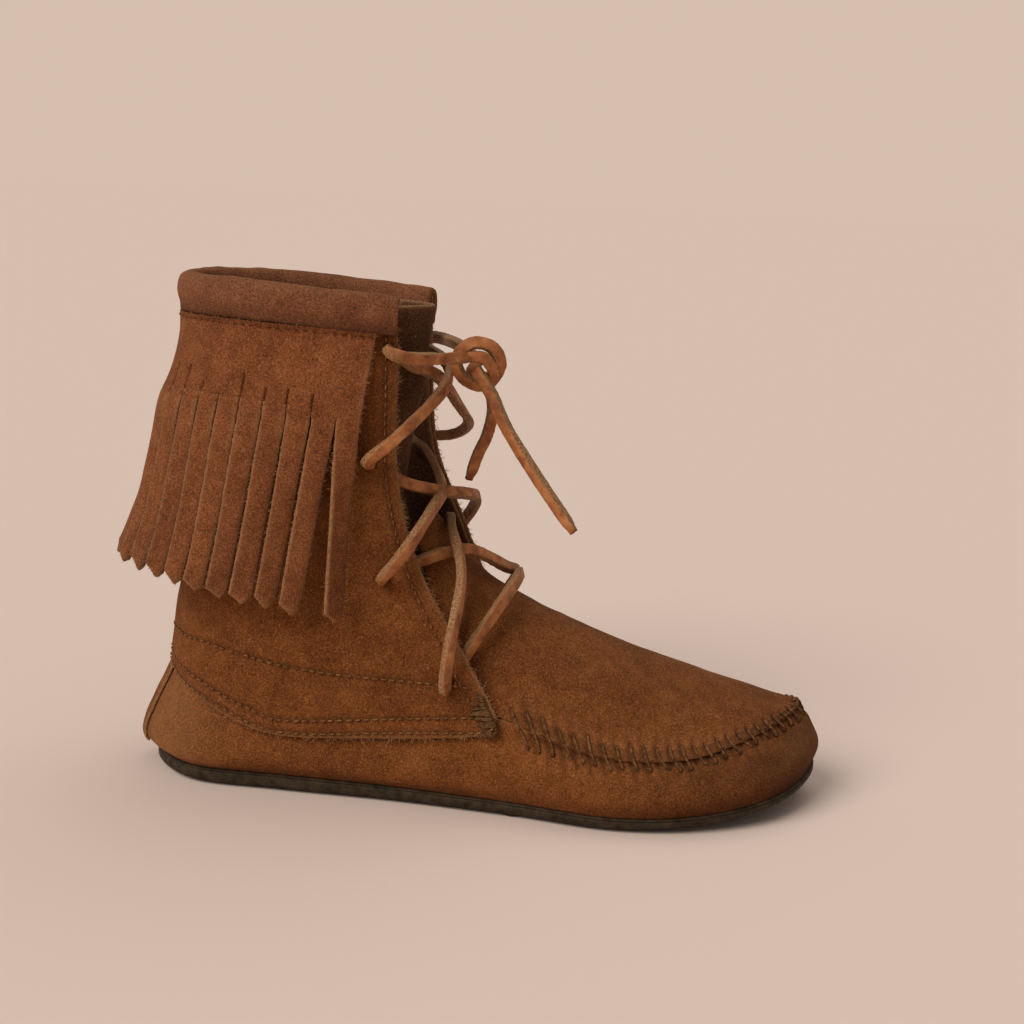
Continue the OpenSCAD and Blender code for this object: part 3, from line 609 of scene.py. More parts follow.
def add_camera():
    a, p, r = (math.radians(v) for v in CAMERA_TURN)
    right = np.array([math.cos(a), math.sin(a), 0])
    ahead = np.array([-math.sin(a) * math.cos(p), math.cos(a) * math.cos(p), -math.sin(p)])
    up = np.cross(right, ahead)
    x = right * math.cos(r) + up * math.sin(r)
    y = up * math.cos(r) - right * math.sin(r)
    data = bpy.data.cameras.new("camera")
    data.lens, data.sensor_width = CAMERA_LENS, 36
    data.clip_start, data.clip_end = 0.01, 50
    camera = bpy.data.objects.new("camera", data)
    axes = np.stack([x, y, -ahead], 1)
    camera.matrix_world = Matrix([[*row, at] for row, at in zip(axes, CAMERA_AT)] + [[0, 0, 0, 1]])
    bpy.context.scene.collection.objects.link(camera)
    bpy.context.scene.camera = camera


def add_sun(name, power, spread, direction):
    data = bpy.data.lights.new(name, "SUN")
    data.energy, data.color, data.angle = power, SUN_COLOUR, math.radians(spread)
    light = bpy.data.objects.new(name, data)
    light.rotation_mode = "QUATERNION"
    light.rotation_quaternion = Vector(direction).to_track_quat("Z", "Y")
    bpy.context.scene.collection.objects.link(light)


def add_stage():
    """A wide pale floor under an even sky of the same colour, with a soft main light and a rim light."""
    sides, radius = 64, 60
    turn = np.arange(sides) * 2 * math.pi / sides
    points = [[radius * math.cos(a), radius * math.sin(a), 0] for a in turn]
    mesh = bpy.data.meshes.new("floor")
    mesh.from_pydata(points, [], [list(range(sides))])
    material, _, shader = material_base("floor", 0.95, 0.0)
    shader.inputs["Base Color"].default_value = (0.808, 0.645, 0.550, 1)
    mesh.materials.append(material)
    floor = bpy.data.objects.new("floor", mesh)
    bpy.context.scene.collection.objects.link(floor)
    world = bpy.data.worlds.new("world")
    world.use_nodes = True
    tree = world.node_tree
    back = tree.nodes["Background"]
    seen = tree.nodes.new("ShaderNodeLightPath").outputs["Is Camera Ray"]
    put(tree, back.inputs[0], blend_colour(tree, "MIX", seen, SKY_LIGHT, BACKGROUND))
    bpy.context.scene.world = world
    bpy.context.scene.view_settings.view_transform = "Standard"
    add_sun("key", 1.95, 38, (-0.75, -0.80, 0.95))
    add_sun("rim", 0.45, 50, (0.2, 0.5, 1.2))


add_camera()
add_stage()


# ---- lace: a square thong with rounded corners ----
THONG_W, THONG_H, THONG_R = 3.9, 3.0, 0.55


def thong(name, net, step, hint, nodes, seed, tail=False):
    """hint(points) gives the direction that the grain face looks to."""
    dense = curve(net, np.linspace(0, len(net) - 1, len(net) * 24))
    length = arc_length(dense)
    n = max(2, int(round(length[-1] / step)) + 1)
    path = along_path(np.linspace(0, length[-1], n), length, dense)
    along = unit(np.gradient(path, axis=0))
    face = unit(hint(path))
    face = unit(face - (face * along).sum(1, keepdims=True) * along)
    for _ in range(60):
        face[1:-1] = (face[:-2] + 2 * face[1:-1] + face[2:]) / 4
        face = unit(face - (face * along).sum(1, keepdims=True) * along)
    side = np.cross(face, along)
    roll = 0.5 * value_noise(path, 26, seed)
    face, side = (face * np.cos(roll)[:, None] + side * np.sin(roll)[:, None],
                  side * np.cos(roll)[:, None] - face * np.sin(roll)[:, None])
    section, grain = [], []
    for corner, (sx, sy) in enumerate(((1, 1), (-1, 1), (-1, -1), (1, -1))):
        for k in range(4):
            a = math.pi / 2 * corner + math.pi / 6 * k
            section.append([sx * (THONG_W / 2 - THONG_R) + THONG_R * math.cos(a),
                            sy * (THONG_H / 2 - THONG_R) + THONG_R * math.sin(a)])
            grain.append(1.0 if math.sin(a) > 0.8 else 0.0)
    section = np.array(section)
    wide = 1 + 0.07 * value_noise(path, 9, seed + 1)
    if tail:
        wide *= 1 - 0.35 * smooth(n - 7, n - 1, np.arange(n))
    ring = section[None, :, :1] * side[:, None] + section[None, :, 1:] * face[:, None]
    points = path[:, None] + wide[:, None, None] * ring
    rough = np.stack([value_noise(points, 0.8, seed + k) for k in (5, 6, 7)], -1)
    points = points + rough * (0.11 * (1 - np.array(grain)) + 0.02)[None, :, None]
    piece = add_piece(name, points, tube_faces(n, len(section)), "rawhide", "rawhide", nodes,
                      grain=np.tile(grain, (n, 1)))
    return piece, path


def outward(path):
    """Away from the middle of the leg, and up on the instep."""
    away = path - np.array([-62, -2, 0])
    away[:, 2] = np.where(path[:, 0] > -14, 24, 6)
    return away


def add_cord(name, net, node, grain_to, seed):
    piece, path = thong(name, net, 1.0, lambda p: np.tile(grain_to, (len(p), 1)), [node], seed, tail=True)


add_cord("lace_tail_long", END_A, "lace_end_a", [-0.35, -1, -0.25], 41)
add_cord("lace_tail_short", END_B, "lace_end_b", [0.5, -1, 0.1], 42)
thong("lace_run", LACE, 0.8, outward, ["lace"], 43)
thong("lace_bow", KNOT, 0.6, lambda p: p - np.array([-6, -2, 152]) + [0, -3, 0], ["lace_knot"], 44)


# ---- sole unit ----
RING = np.arange(320) * 16 / 320


def plate(name, rings, material, slot, nodes, extra=None, **attributes):
    """A closed plate from rings round the sole, its caps drawn in as smaller and smaller rings."""
    rings = np.stack(rings)
    low, high = rings[0], rings[-1]
    spine_x = np.clip(low[:, 0], -75, 85)

    def shrink(ring, f):
        spine = np.stack([spine_x, mix(-3.0, 0, np.clip((spine_x + 75) / 100, 0, 1)), ring[:, 2]], -1)
        return mix(ring, spine, f)
    caps = np.linspace(0.12, 1, 9)
    stack = np.concatenate([[shrink(low, f) for f in caps[::-1]], rings, [shrink(high, f) for f in caps]])
    m, n = stack.shape[:2]
    faces = grid_faces(m, n, True).tolist()
    half = n // 2
    for base in (0, (m - 1) * n):
        faces += [[base + i, base + i + 1, base + (n - i - 1), base + (n - i) % n] for i in range(half)]
    points = stack.reshape(-1, 3)
    if extra is not None:
        faces += [[i + len(points) for i in f] for f in extra[1]]
        points = np.concatenate([points, extra[0]])
    filled = {k: np.full(len(points), v) for k, v in attributes.items()}
    piece = add_piece(name, points, faces, material, slot, nodes, mend=False, **filled)
    work = bmesh.new()
    work.from_mesh(piece.data)
    bmesh.ops.remove_doubles(work, verts=work.verts, dist=2e-6)
    bmesh.ops.dissolve_degenerate(work, dist=2e-6, edges=work.edges)
    bmesh.ops.recalc_face_normals(work, faces=work.faces)
    work.to_mesh(piece.data)
    work.free()
    return piece


def sole_ring(inset, up, base=sole_top, t=RING):
    ring = sole_inset(t, inset)
    ring[:, 2] = base(ring[:, 0]) + up
    return ring


def tread():
    """Domed nubs on a staggered grid, one under the origin."""
    points, faces = [], []
    angle = np.arange(28) * 2 * np.pi / 28
    profile = ((4.0, 2.2), (4.0, 0.45), (3.8, 0.12), (3.4, 0.0), (1.9, 0.0), (1.5, 0.35), (0.5, 0.4))
    margin = 9
    for i in range(-8, 9):
        x = i * NUB_PITCH
        t = np.array([min(max((x / SOLE_L + 0.5) * 8, 0.6), 7.4)])
        shift = abs(i) % 2 / 2
        low = math.ceil(sole_inset(t, margin)[0, 1] / NUB_PITCH - shift)
        high = math.floor(sole_inset(16 - t, margin)[0, 1] / NUB_PITCH - shift)
        z = float(sole_bottom(np.array(x))) - 1.2
        for k in range(low, high + 1):
            base, y = len(points), (k + shift) * NUB_PITCH
            for radius, up in profile:
                points += [[x + radius * math.cos(v), y + radius * math.sin(v), z + up] for v in angle]
            faces += (grid_faces(len(profile), len(angle), True) + base).tolist()
            faces += [list(range(at, at + len(angle))) for at in (base, len(points) - len(angle))]
    return np.array(points), faces


OUTSOLE = [sole_ring(d, up, sole_bottom) for d, up in ((1.6, 0), (0.8, 0.05), (0.35, 0.3),
                                                       (0.08, 0.75), (0, 1.3))]
OUTSOLE += [sole_ring(d, up) for d, up in ((0, -1.6), (0.12, -1.25), (0.45, -1.0), (0.12, -0.75),
                                           (0, -0.5), (0.15, -0.15), (0.6, 0))]
plate("outsole_rubber_plate", OUTSOLE, "outsole_rubber", "outsole_rubber", ["outsole"], extra=tread())
BED_INSET = SUEDE_T + 1.4
BED_EDGE = ((0.5, 0), (0.1, 0.15), (0, 0.5), (0.1, 0.85), (0.5, 1))
for part, low, thick, slot in (("insole_board", 2.2, 2.0, "board"), ("insole_foam", 4.4, 3.0, "foam"),
                               ("sock_liner", 7.6, 1.2, "suede_dark")):
    rings = [sole_ring(BED_INSET + d, low + up * thick) for d, up in BED_EDGE]
    piece = plate(part + "_bed", rings, slot, slot, [part], wear=0.0, dark=0.3)
plate("bottom_filler_sheet", [sole_ring(TURN_IN + 0.8, GAP), sole_ring(TURN_IN + 0.8, 2.0)], "stiffener",
      "stiffener", ["bottom_filler"])


# ---- wrap, plug and their whipstitches ----
WHIP_N, WHIP_FROM = 52, 1.98
WHIP_S = mix(WHIP_FROM, 12 - WHIP_FROM, np.arange(1, WHIP_N) / WHIP_N)
WHIP_SIDE = np.where(WHIP_S < 6, -1.0, 1.0)
rng = np.random.default_rng(11)
whip_reach = rng.uniform(0.028, 0.055, len(WHIP_S))
whip_near = np.minimum(np.minimum(WHIP_S, 12 - WHIP_S), 5.9)
whip_in = plug_at(whip_near, WHIP_SIDE * (1 - whip_reach))
shift = 0.055 + rng.uniform(-0.035, 0.035, len(WHIP_S))
whip_low = wall_at(2 - rng.uniform(0.11, 0.22, len(WHIP_S)), WHIP_S + 2 + shift)


def pucker(s, seed):
    """1 at each whipstitch, -1 half way between two, and 0 outside the sewn length."""
    phase = (s - WHIP_FROM) / (12 - 2 * WHIP_FROM) * WHIP_N
    wave = np.cos(2 * np.pi * phase)
    strength = 0.8 + 0.35 * value_noise(np.stack([phase, 0 * phase, 0 * phase], -1), 1.7, seed)
    return wave * strength * smooth(1.9, 2.15, s) * (1 - smooth(9.85, 10.1, s))


wrap_t = np.arange(840) * 16 / 840
wrap_w = np.concatenate([np.linspace(0, 1, 10)[:-1], np.linspace(1, 1.6, 13)[:-1],
                         np.linspace(1.6, 2.1, 16)[:-1], np.linspace(2.1, 3, 9)])
under = [sole_ring(d, GAP, t=wrap_t) for d in (TURN_IN, 12.6, 9.5, 6, 3, 1.4)]
wall = grid(wall_at, wrap_w, wrap_t)
wall_s = np.broadcast_to(wrap_t - 2, wall.shape[:2])
wall_w = np.broadcast_to(wrap_w[:, None], wall.shape[:2])
toe_side = smooth(1.9, 2.5, wall_s) * (1 - smooth(9.5, 10.1, wall_s))
near_seam = smooth(1.05, 1.95, wall_w) ** 1.6
relief = -0.75 * pucker(wall_s, 5) * near_seam * toe_side
relief += 0.35 * near_seam * toe_side * value_noise(wall * [1, 1, 0.25], 2.2, 9)
free = smooth(0.0, 0.5, wall_w) * (1 - smooth(1.7, 1.95, wall_w) * (1 - toe_side))
relief += dents(wall, 21, 0.85) * free * (1 - 0.6 * near_seam)
relief += 0.7 * np.exp(-((wall_w - 2.5) / 0.3) ** 2) * toe_side
sewn = np.exp(-(distance_to(wall, whip_low) / 0.75) ** 2)
relief -= 0.45 * sewn
wrap_points = np.concatenate([np.stack(under), wall])
pad = np.zeros((len(under), len(wrap_t)))
low_wall_dark = 0.45 * (1 - smooth(0.05, 0.75, wall_w)) * (0.6 + 0.4 * value_noise(wall, 18, 4))
toe_painted_shade = 0.5 * smooth(6.4, 8.0, wrap_t) * (1 - smooth(9.2, 11, wrap_t))
# Painted shade in the stitch holes, towards the toe and in the seam under the plug's edge; darker low on the
# wall by the sole; painted light at the heel; paler at the toe tip.
wall_x = wall[..., 0]
wall_dark = 0.8 * sewn + np.clip(low_wall_dark, 0, 1) + 0.5 * smooth(15, 105, wall_x) * (1 - 0.35 * near_seam)
wall_dark += toe_painted_shade * 0.15 + 0.7 * np.exp(-((wall_w - 2.25) / 0.22) ** 2) * toe_side
wall_wear = 0.08 * near_seam * toe_side + 0.22 * smooth(-80, -112, wall_x)
wall_wear += 0.24 * smooth(98, 118, wall_x) * np.exp(-((wall_w - 1.25) / 0.4) ** 2)
hide("wrap_leather", wrap_points, SUEDE_T, "suede", "suede", ["wrap"], raw="t", closed=True,
     out=np.concatenate([pad, relief]), dark=np.clip(np.concatenate([pad + 0.3, wall_dark]), 0, 1),
     wear=np.concatenate([pad, wall_wear]), seed=31)

plug_s = 5.93 * (np.linspace(0, 1, 330) ** 0.92)
plug_c = -np.cos(np.linspace(0, np.pi, 150))


def plug_surface(c, s):
    """The plug, its edge pressed down and out on the wrap's top edge."""
    t = np.where(c < 0, s + 2, 14 - s)
    press = np.exp(-((1 - np.abs(c)) / 0.014) ** 2) * smooth(1.9, 2.3, s)
    move = (curve(SEAM, t, True) - curve(LAP, t, True)) * [1, 1, 0.4] * 0.7 - [0, 0, 0.7]
    return plug_at(s, c) + move * press[:, None]


plug_points = grid(plug_surface, plug_c, plug_s)
plug_ss = np.broadcast_to(plug_s, plug_points.shape[:2])
plug_cc = np.broadcast_to(plug_c[:, None], plug_points.shape[:2])
edge_near = np.exp(-((1 - np.abs(plug_cc)) / 0.10) ** 2) * smooth(1.9, 2.4, plug_ss)
plug_sewn = np.exp(-(distance_to(plug_points, whip_in) / 0.7) ** 2)
plug_relief = -0.6 * pucker(np.where(plug_cc < 0, plug_ss, 12 - plug_ss), 6) * edge_near
inland = 1 - smooth(0.8, 0.97, np.abs(plug_cc))
plug_relief += dents(plug_points, 61, 0.9) * inland * smooth(0.6, 2.2, plug_ss)
plug_relief -= 0.4 * plug_sewn
creases = np.sin(plug_points[..., 0] / 3.1 + 1.4 * value_noise(plug_points, 17, 64))
throat = smooth(2.2, 2.6, plug_ss) * (1 - smooth(3.1, 3.8, plug_ss))
plug_relief += 0.10 * creases * throat * (1 - plug_cc ** 2)
# Painted shade in the stitch holes, towards the toe end and along the sewn edge.
plug_painted_shade = 0.8 * plug_sewn + 0.3 * smooth(4.2, 5.9, plug_ss) * (0.5 + 0.5 * edge_near)
plug_painted_shade += 0.3 * edge_near * (np.abs(plug_cc) > 0.97)
hide("plug_leather", plug_points, SUEDE_T, "suede", "suede", ["plug"], raw="", out=plug_relief,
     dark=np.clip(plug_painted_shade, 0, 1), wear=0.10 * edge_near, seed=62)

# Each stitch leaves the plug, lies over its edge and goes into the wrap.
away = unit((whip_low - whip_in) * [1, 1, 0])
over = unit(away + [0, 0, 0.8])
on_plug = [plug_surface(WHIP_SIDE * (1 - whip_reach * g), whip_near) for g in (0.8, 0.35, 0.0)]
whip_net = np.stack([whip_in - 0.4 * over, on_plug[0] + 0.1 * over, on_plug[1] + 0.35 * over,
                     mix(on_plug[2], whip_low, 0.45) + 0.45 * over,
                     whip_low + 0.1 * away, whip_low - 0.5 * away])
whip_paths = np.stack([curve(whip_net, np.full(len(WHIP_S), t)) for t in np.linspace(0, 5, 16)], 1)
vertices, faces = tubes(whip_paths, np.tile([0.0, 0, 1], (len(WHIP_S), 1)),
                        rng.uniform(0.38, 0.55, (len(WHIP_S), 1)), 9, 0.18, 2.2)
add_piece("plug_whipstitches", vertices, faces, "thick_thread", "thick_thread", ["plug_stitches"])


# ---- quarters, facings and the rows of stitching on them ----
# Each row's height w at its distance in u from the back seam.
ROWS = [([0, 0.6, 1.04, 1.51, 2.07, 2.69, 3.18, 3.9], [0.04, 0.04, 0.06, 0.10, 0.05, 0.06, 0.08, 0.06]),
        ([0, 0.48, 1.19, 1.83, 2.09, 2.64, 3.24, 3.9], [0.20, 0.21, 0.28, 0.25, 0.19, 0.22, 0.25, 0.24]),
        ([0, 0.12, 1.31, 1.88, 2.49, 3.22, 3.68, 4.0], [0.62, 0.64, 0.86, 0.88, 0.82, 0.73, 0.64, 0.56])]
EDGE_U = 0.16
stitch_u = np.linspace(0.1, 7.9, 260)
stitch_rows = [(np.interp(np.abs(stitch_u - 4), *row), stitch_u) for row in ROWS]
edge_w = np.linspace(0.2, 4.6, 140)
edge_rows = [(edge_w, np.full_like(edge_w, u)) for u in (EDGE_U, 8 - EDGE_U)]
all_rows = np.concatenate([shaft_at(w, u) for w, u in stitch_rows + edge_rows])


def add_holes(piece, side):
    """Punches the lace holes with a cutter, and leaves plain mesh."""
    points, faces = [], []
    angle = np.arange(24) * 2 * np.pi / 24
    for x, y, z in HOLES[side]:
        base = len(points)
        for end in (y - 9, y + 9):
            points += [[x + HOLE_R * math.cos(v), end, z + HOLE_R * math.sin(v)] for v in angle]
        faces += (grid_faces(2, len(angle), True) + base).tolist()
        faces += [list(range(at, at + len(angle))) for at in (base, base + len(angle))]
    cutter = add_piece("cutter", points, faces, "suede_dark", "suede_dark")
    change = piece.modifiers.new("holes", "BOOLEAN")
    change.operation, change.solver, change.object = "DIFFERENCE", "MANIFOLD", cutter
    shape = piece.evaluated_get(bpy.context.evaluated_depsgraph_get())
    mesh = bpy.data.meshes.new_from_object(shape)
    piece.modifiers.clear()
    old, piece.data = piece.data, mesh
    bpy.data.meshes.remove(old)
    bpy.data.objects.remove(cutter)


def add_quarter(side, u0, u1, seed):
    w = 5 * steps(190, 146, True, False)
    u = mix(u0, u1, steps(170, 118))
    ww, uu = np.meshgrid(w, u, indexing="ij")
    front = np.minimum(uu, 8 - uu)
    # The flap's lower front corner is cut off round.
    corner = np.exp(-front / 0.11 - ww / 0.14)
    ww = ww + 0.11 * corner
    uu = uu + np.where(uu > 4, -0.10, 0.10) * corner
    points = shaft_at(ww.ravel(), uu.ravel()).reshape(*uu.shape, 3)
    sewn = np.exp(-(distance_to(points, all_rows) / 1.0) ** 2)
    holes = np.array(HOLES[side])
    around = np.linalg.norm((points[:, :, None] - holes)[..., [0, 2]], axis=-1).min(-1)
    relief = dents(points, seed, 1.0) * smooth(0, 0.5, front) * smooth(0.0, 0.25, ww)
    fold = value_noise(points * [0.55, 0.55, 1.6], 17, seed + 7)
    relief += 0.75 * fold * smooth(0.6, 1.4, ww) * (1 - smooth(2.6, 3.6, ww)) * smooth(0.1, 1.0, front)
    relief -= 0.32 * sewn + 0.35 * np.exp(-((around - HOLE_R) / 1.1) ** 2)
    dark = 0.35 * sewn + 0.65 * np.exp(-((around - 2.0) / 0.9) ** 2)
    dark += 0.22 * (1 - smooth(0, 1.1, front)) * smooth(1.2, 2.5, ww)
    piece = hide(f"quarter_{side}_leather", points, SUEDE_T, "suede", "suede", [f"quarter_{side}"], raw="blr",
                 out=relief, dark=np.clip(dark, 0, 1), wear=0.05 * sewn, seed=seed)
    add_holes(piece, side)
    lateral = side == "lateral"
    add_fibres(piece, points, SUEDE_T, "br" if lateral else "bl", 2.2, 1.9, seed + 5)
    inside = grid(lambda w, u: shaft_off(w, u, -SUEDE_T - GAP), np.linspace(0.35, 4.6, 120),
                  np.linspace(8 - 0.5, 8 - 0.02, 24) if lateral else np.linspace(0.02, 0.5, 24))
    strip = hide(f"facing_{side}_strip", inside, LINING_T, "suede_dark", "suede_dark", [f"facing_{side}"],
                 out=0.0, ragged=0.15, seed=seed + 3)
    add_holes(strip, side)


add_quarter("lateral", 4.012, 8, 81)
add_quarter("medial", 0, 3.988, 91)


def add_rows(name, rows, fill, radius, node, seed):
    paths, ups = zip(*(row_stitches(shaft_off(w, u, np.full_like(u, -0.12)), shaft_normal(w, u), fill,
                                    0.28, seed + k) for k, (w, u) in enumerate(rows)))
    vertices, faces = tubes(np.concatenate(paths), np.concatenate(ups), radius, 7, 0.12, 2.0)
    add_piece(name, vertices, faces, "thread", "thread", [node])


add_rows("quarter_stitch_rows", stitch_rows, ROW_FILL, 0.29, "quarter_stitches", 101)
add_rows("facing_stitch_rows", edge_rows, EDGE_FILL, 0.27, "facing_stitches", 111)

tack_paths, tack_ups = [], []
rng = np.random.default_rng(17)
for side in (0, 1):
    for k in range(24):
        low = 0.03 + 0.020 * k + rng.uniform(-0.008, 0.008)
        w = low + np.linspace(0, rng.uniform(-0.05, 0.05), 9)
        far = mix(0.20, 0.08, smooth(0.25, 0.5, low)) + rng.uniform(-0.05, 0.04)
        u = np.linspace(0.02 + 0.08 * math.exp(-low / 0.12), far, 9)
        height = 0.55 - 1.1 * np.abs(np.linspace(-1, 1, 9)) ** 5
        uu = np.abs(side * 8 - u)
        tack_paths.append(shaft_off(w, uu, height))
        tack_ups.append(shaft_normal(w, uu)[4])
vertices, faces = tubes(np.array(tack_paths), np.array(tack_ups), 0.42, 8, 0.14, 2.0)
add_piece("corner_tacks", vertices, faces, "tack_thread", "tack_thread", ["bar_tacks"])


# ---- heel stiffener and back strip ----
def wall_patch(w0, w1, rows, half, cols, d):
    points = grid(lambda w, t: wall_at(w, t % 16), mix(w0, w1, steps(rows, 26)),
                  16 + mix(-half, half, steps(cols, 16)))
    return points + grid_normals(points) * d


hide("heel_counter_shell", wall_patch(1.15, 2.6, 24, 1.6, 60, -SUEDE_T - GAP), LINING_T, "stiffener",
     "stiffener", ["heel_counter"], ragged=0.05, seed=121)
stay = wall_patch(0.55, 1.9, 40, 0.32, 26, GAP + LINING_T)
hide("backstay_strip", stay, LINING_T, "suede", "suede_dark", ["backstay"],
     out=0.12 * value_noise(stay, 4, 122), seed=123)

# ---- tongue ----
tongue_k = 2 * steps(44, 36) - 1
tongue_r = 4 * steps(110, 104)
tongue_points = grid(lambda r, k: curve(TONGUE, r) + np.stack([-14 * k * k, k * 17, 0 * k], -1),
                     tongue_r, tongue_k)
hide("tongue_leather", tongue_points, SUEDE_T, "suede_dark", "suede_dark", ["tongue"],
     out=dents(tongue_points, 131, 0.5), body="tongue", seed=132)

# ---- rolled collar ----
# The outer face is drawn in at its foot, where it meets the skirt.
ROLL[:5] = [[0.4, -10.4], [1.75, -10.3], [1.9, -8.2], [3.0, -3.8], [1.9, 1.2]]
section = np.concatenate([curve(ROLL[:9], np.linspace(0, 8, 33)), ROLL[9:]])
roll_u = 8 * steps(260, 250)
top_w = np.full_like(roll_u, 5)
roll_at, roll_out = shaft_at(top_w, roll_u), unit(shaft_normal(top_w, roll_u) * [1, 1, 0])
end_pull = np.minimum(np.arange(len(roll_u)), np.arange(len(roll_u))[::-1])
squeeze = 1 - 0.16 * np.exp(-end_pull / 1.3)
roll_points = roll_at[:, None] + squeeze[:, None, None] * (roll_out[:, None] * section[None, :, :1]) \
    + section[None, :, 1:] * squeeze[:, None, None] * [0, 0, 1]
swell = np.zeros(roll_points.shape[:2])
swell[:, 2:30] = (0.45 * value_noise(roll_points, 15, 141)
                  + 0.22 * value_noise(roll_points * [1, 1, 0.3], 4.5, 142))[:, 2:30]
tuck = np.clip(1 - np.abs(np.arange(len(section)) - 2) / 4, 0, 1)
swell -= 0.18 * tuck * (0.5 + 0.5 * np.cos(roll_u * 2 * np.pi * 8.5))[:, None]
side_out = unit(np.gradient(roll_points, axis=1))
face_out = np.cross(side_out, unit(np.gradient(roll_points, axis=0)))
roll_points = roll_points + face_out * -swell[..., None]
n, m = swell.shape
faces = grid_faces(n, m, True).tolist() + [list(range(m)), list(range((n - 1) * m, n * m))[::-1]]
at_foot = np.arange(m)
# Painted shade in the groove at the roll's foot, where it meets the skirt.
roll_painted_shade = 0.65 * np.clip(1 - np.abs(at_foot - 5) / 6, 0, 1) * (at_foot < 12)
add_piece("collar_roll_leather", roll_points, faces, "suede_collar", "suede_collar", ["collar_roll"],
                    wear=np.full((n, m), 0.02), dark=np.tile(roll_painted_shade, (n, 1)))

# ---- fringe ----
FRINGE_U = np.linspace(FRINGE_FROM, FRINGE_TO, 97)
FRINGE_S = arc_length(skirt_at(np.ones(97), FRINGE_U))
STRANDS, STRAND_GAP = 24, 0.4
STRAND_PITCH = FRINGE_S[-1] / STRANDS
STRAND_W = STRAND_PITCH - STRAND_GAP


def fringe_u(share):
    return np.interp(np.asarray(share, float) * FRINGE_S[-1], FRINGE_S, FRINGE_U)


skirt_v = 1 - steps(70, 32, True, False)
skirt_u = mix(FRINGE_FROM, FRINGE_TO, steps(520, 225))
skirt_points = grid(skirt_at, skirt_v, skirt_u)
skirt_vv = np.broadcast_to(skirt_v[:, None], skirt_points.shape[:2])
skirt_relief = dents(skirt_points, 151, 0.7) * smooth(0, 0.25, skirt_vv)
skirt_relief *= 1 - smooth(0.93, 1.0, skirt_vv)
# Some slits run on up into the skirt.
rng = np.random.default_rng(19)
slit_share = np.arange(1, STRANDS) / STRANDS + rng.uniform(-0.002, 0.002, STRANDS - 1)
slit_v = 1 - rng.uniform(0.03, 0.42, STRANDS - 1)
slit_points = np.concatenate([skirt_at(np.linspace(v, 1.0, 30), np.linspace(u + 0.015, u, 30))
                              for v, u in zip(slit_v, fringe_u(slit_share))])
slit = np.exp(-(distance_to(skirt_points, slit_points) / 0.34) ** 2)
skirt_relief -= 0.9 * slit
# Painted shade at the skirt's top under the collar roll, and in the slits.
skirt_painted_shade = np.clip(0.35 * (1 - smooth(0.0, 0.12, skirt_vv)) + 0.65 * slit, 0, 1)
skirt = hide("fringe_skirt_leather", skirt_points, SUEDE_T, "suede_skirt", "suede", ["fringe_skirt"],
             raw="lr", out=skirt_relief, dark=skirt_painted_shade, seed=152)
add_fibres(skirt, skirt_points, SUEDE_T, "lrt", 2.2, 1.3, 153)
collar_row = np.linspace(FRINGE_FROM, FRINGE_TO, 240)
row_points = skirt_at(np.full_like(collar_row, 0.05), collar_row)
row_normal = shaft_normal(np.full_like(collar_row, 4.6), collar_row)
paths, ups = row_stitches(row_points, row_normal, COLLAR_FILL, 0.12, 154)
vertices, faces = tubes(paths, ups, 0.24, 7, 0.12, 2.0)
add_piece("collar_stitch_row", vertices, faces, "hidden_thread", "thread", ["collar_stitches"])


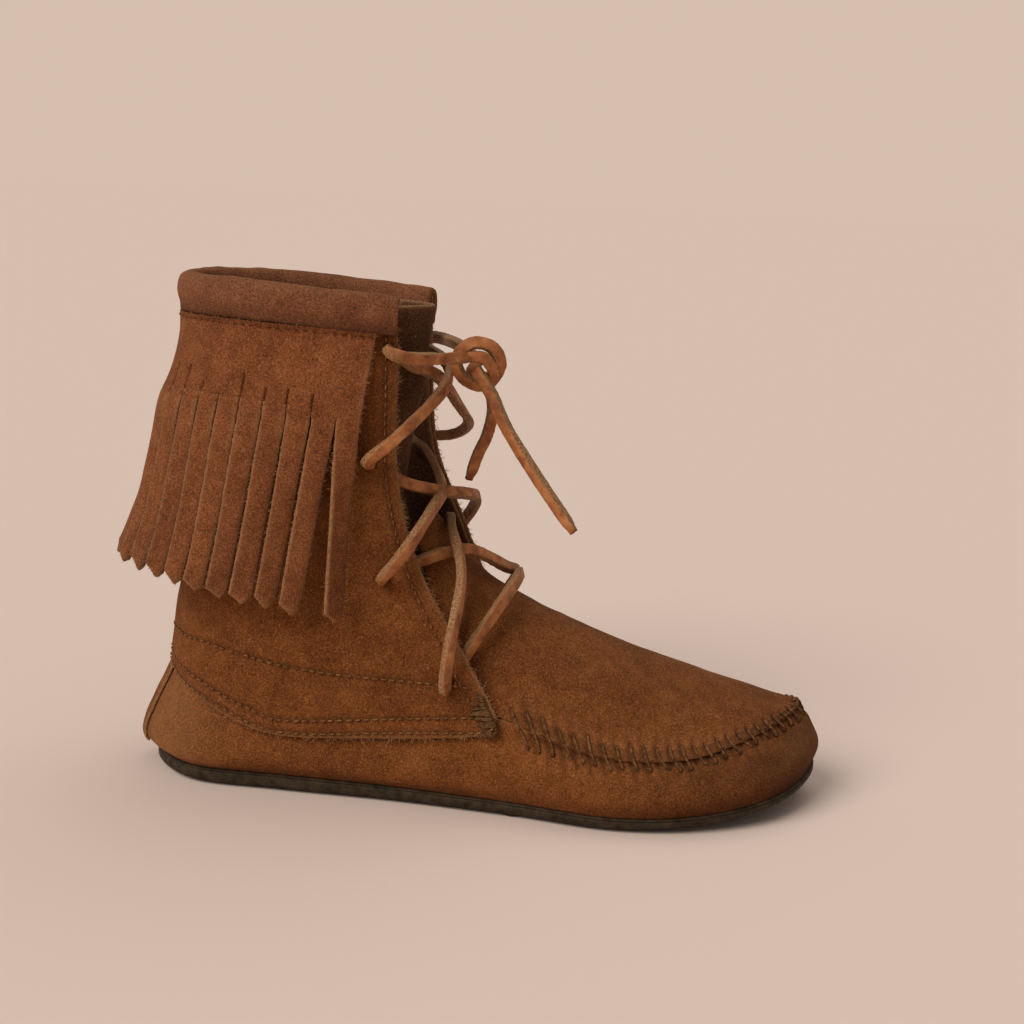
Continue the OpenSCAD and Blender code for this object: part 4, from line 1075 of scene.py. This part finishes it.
def add_strand(k):
    """A strand hanging from the skirt, its top rows lying on the skirt above its root."""
    rng = np.random.default_rng(200 + k)
    at_front = k in (1, STRANDS)
    c = 2 * steps(9, STRAND_W) - 1
    strip_u = np.array([fringe_u((k - 0.5 + s * STRAND_W / STRAND_PITCH / 2) / STRANDS) for s in c])
    u_mid = fringe_u((k - 0.5) / STRANDS)
    share = float(back_share(u_mid))
    root_drop = mix(0.9, 2.0, share)
    rim = skirt_at(np.ones_like(strip_u), strip_u)
    root = (rim[0] + rim[-1]) / 2 - [0, 0, root_drop]
    fold = unit(rim[-1] - rim[0])
    out = unit(np.cross(fold, [0, 0, 1]))
    level = np.array([out[1], -out[0], 0])
    level *= np.sign(level @ fold)
    back = level * (-1 if level[0] > 0 else 1)
    to_back = np.sign(back @ fold)
    drop = STRAND_L * mix(1.07, 0.95, share)
    swing = mix(8.0, 17.0, share)
    lean = 9.5 * (0.3 if at_front else 1) * (1 - share)
    # The first three rows lie on the skirt, and the rest go down to the slanting cut at the tip.
    g = np.concatenate([[-3, -2, -1], steps(46, drop, False, True)])
    peak, cut = rng.uniform(0.05, 0.45), rng.uniform(3.0, 5.0)
    cc, gg = np.meshgrid(c, g)
    end = 1 - cut * np.abs(cc - peak) / (1 + peak) / drop
    down = np.clip(gg, 0, 1) * end
    # It starts along the skirt's slope, and its tip ends where the CAD strand's does.
    hang = skirt_at(np.array([0.94, 1.0]), np.array([u_mid, u_mid]))
    slope = (hang[1] - hang[0]) @ out / (hang[0, 2] - hang[1, 2])
    ease = 7 * slope * (1 - np.exp(-drop * down / 7)) + slope * root_drop * np.exp(-drop * down / 10)
    centre = root + out * ((swing - 7 * slope) * down ** 2 + ease)[..., None] \
        - [0, 0, 1] * (drop * down)[..., None] + back * (lean * down)[..., None]
    # Each strand's rear edge stands out a little over the next one.
    turn = 38 if k == STRANDS else rng.uniform(7, 17)
    twist = np.radians(turn * to_back) * smooth(0.0, 0.45, down)
    wobble = rng.uniform(-0.1, 0.1) * np.sin(down * 4 + rng.uniform(0, 6))
    half = STRAND_W / 2 * (1 - 0.03 * down - 0.10 * smooth(0.93, 1.0, down))
    across = level[None, None] + np.array([0, 0, 1]) * (fold[2] * (1 - down))[..., None]
    lift = out[None, None] * np.sin(twist)[..., None] + across * np.cos(twist)[..., None]
    points = centre + lift * (cc * half + wobble)[..., None]
    # The top follows the skirt's curve round the ankle, and flattens out lower down.
    bow = rim - mix(rim[0], rim[-1], (c[:, None] + 1) / 2)
    points += bow * (1 - smooth(0.0, 0.35, down))[..., None]
    curl = rng.uniform(-0.5, 0.5) * down + 0.25 * np.sin(5 * down + k)
    points += out * (curl * (cc ** 2 - 0.4))[..., None]
    points += out * (0.30 * value_noise(points, 9, 300 + k) * smooth(0, 0.2, down))[..., None]
    for row in range(3):
        v = 1 - 0.028 * (3 - row)
        points[row] = skirt_at(np.full_like(strip_u, v), strip_u) - 0.08 * out
    shade = 0.22 * smooth(0.15, 0.75, down) * rng.random()
    shade += 0.4 * smooth(0.25, 1.0, -cc * to_back) * smooth(0.02, 0.3, down)
    points, shade = points[::-1], shade[::-1]
    if (grid_normals(points)[5, 4] @ out) < 0:
        points, shade = points[:, ::-1], shade[:, ::-1]
    thick, name = SUEDE_T - 0.16, f"strand_{k:02d}"
    piece = hide("fringe_" + name, points, thick, "suede_skirt", "suede", [name], raw="blr",
                 seed=400 + 7 * k, body=None, ragged=0.2, dark=shade)
    add_fibres(piece, points[:-8], thick, "blr", 1.6, 1.3 if at_front else 0.7, 600 + k)
    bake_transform(piece)


for k in range(1, STRANDS + 1):
    add_strand(k)
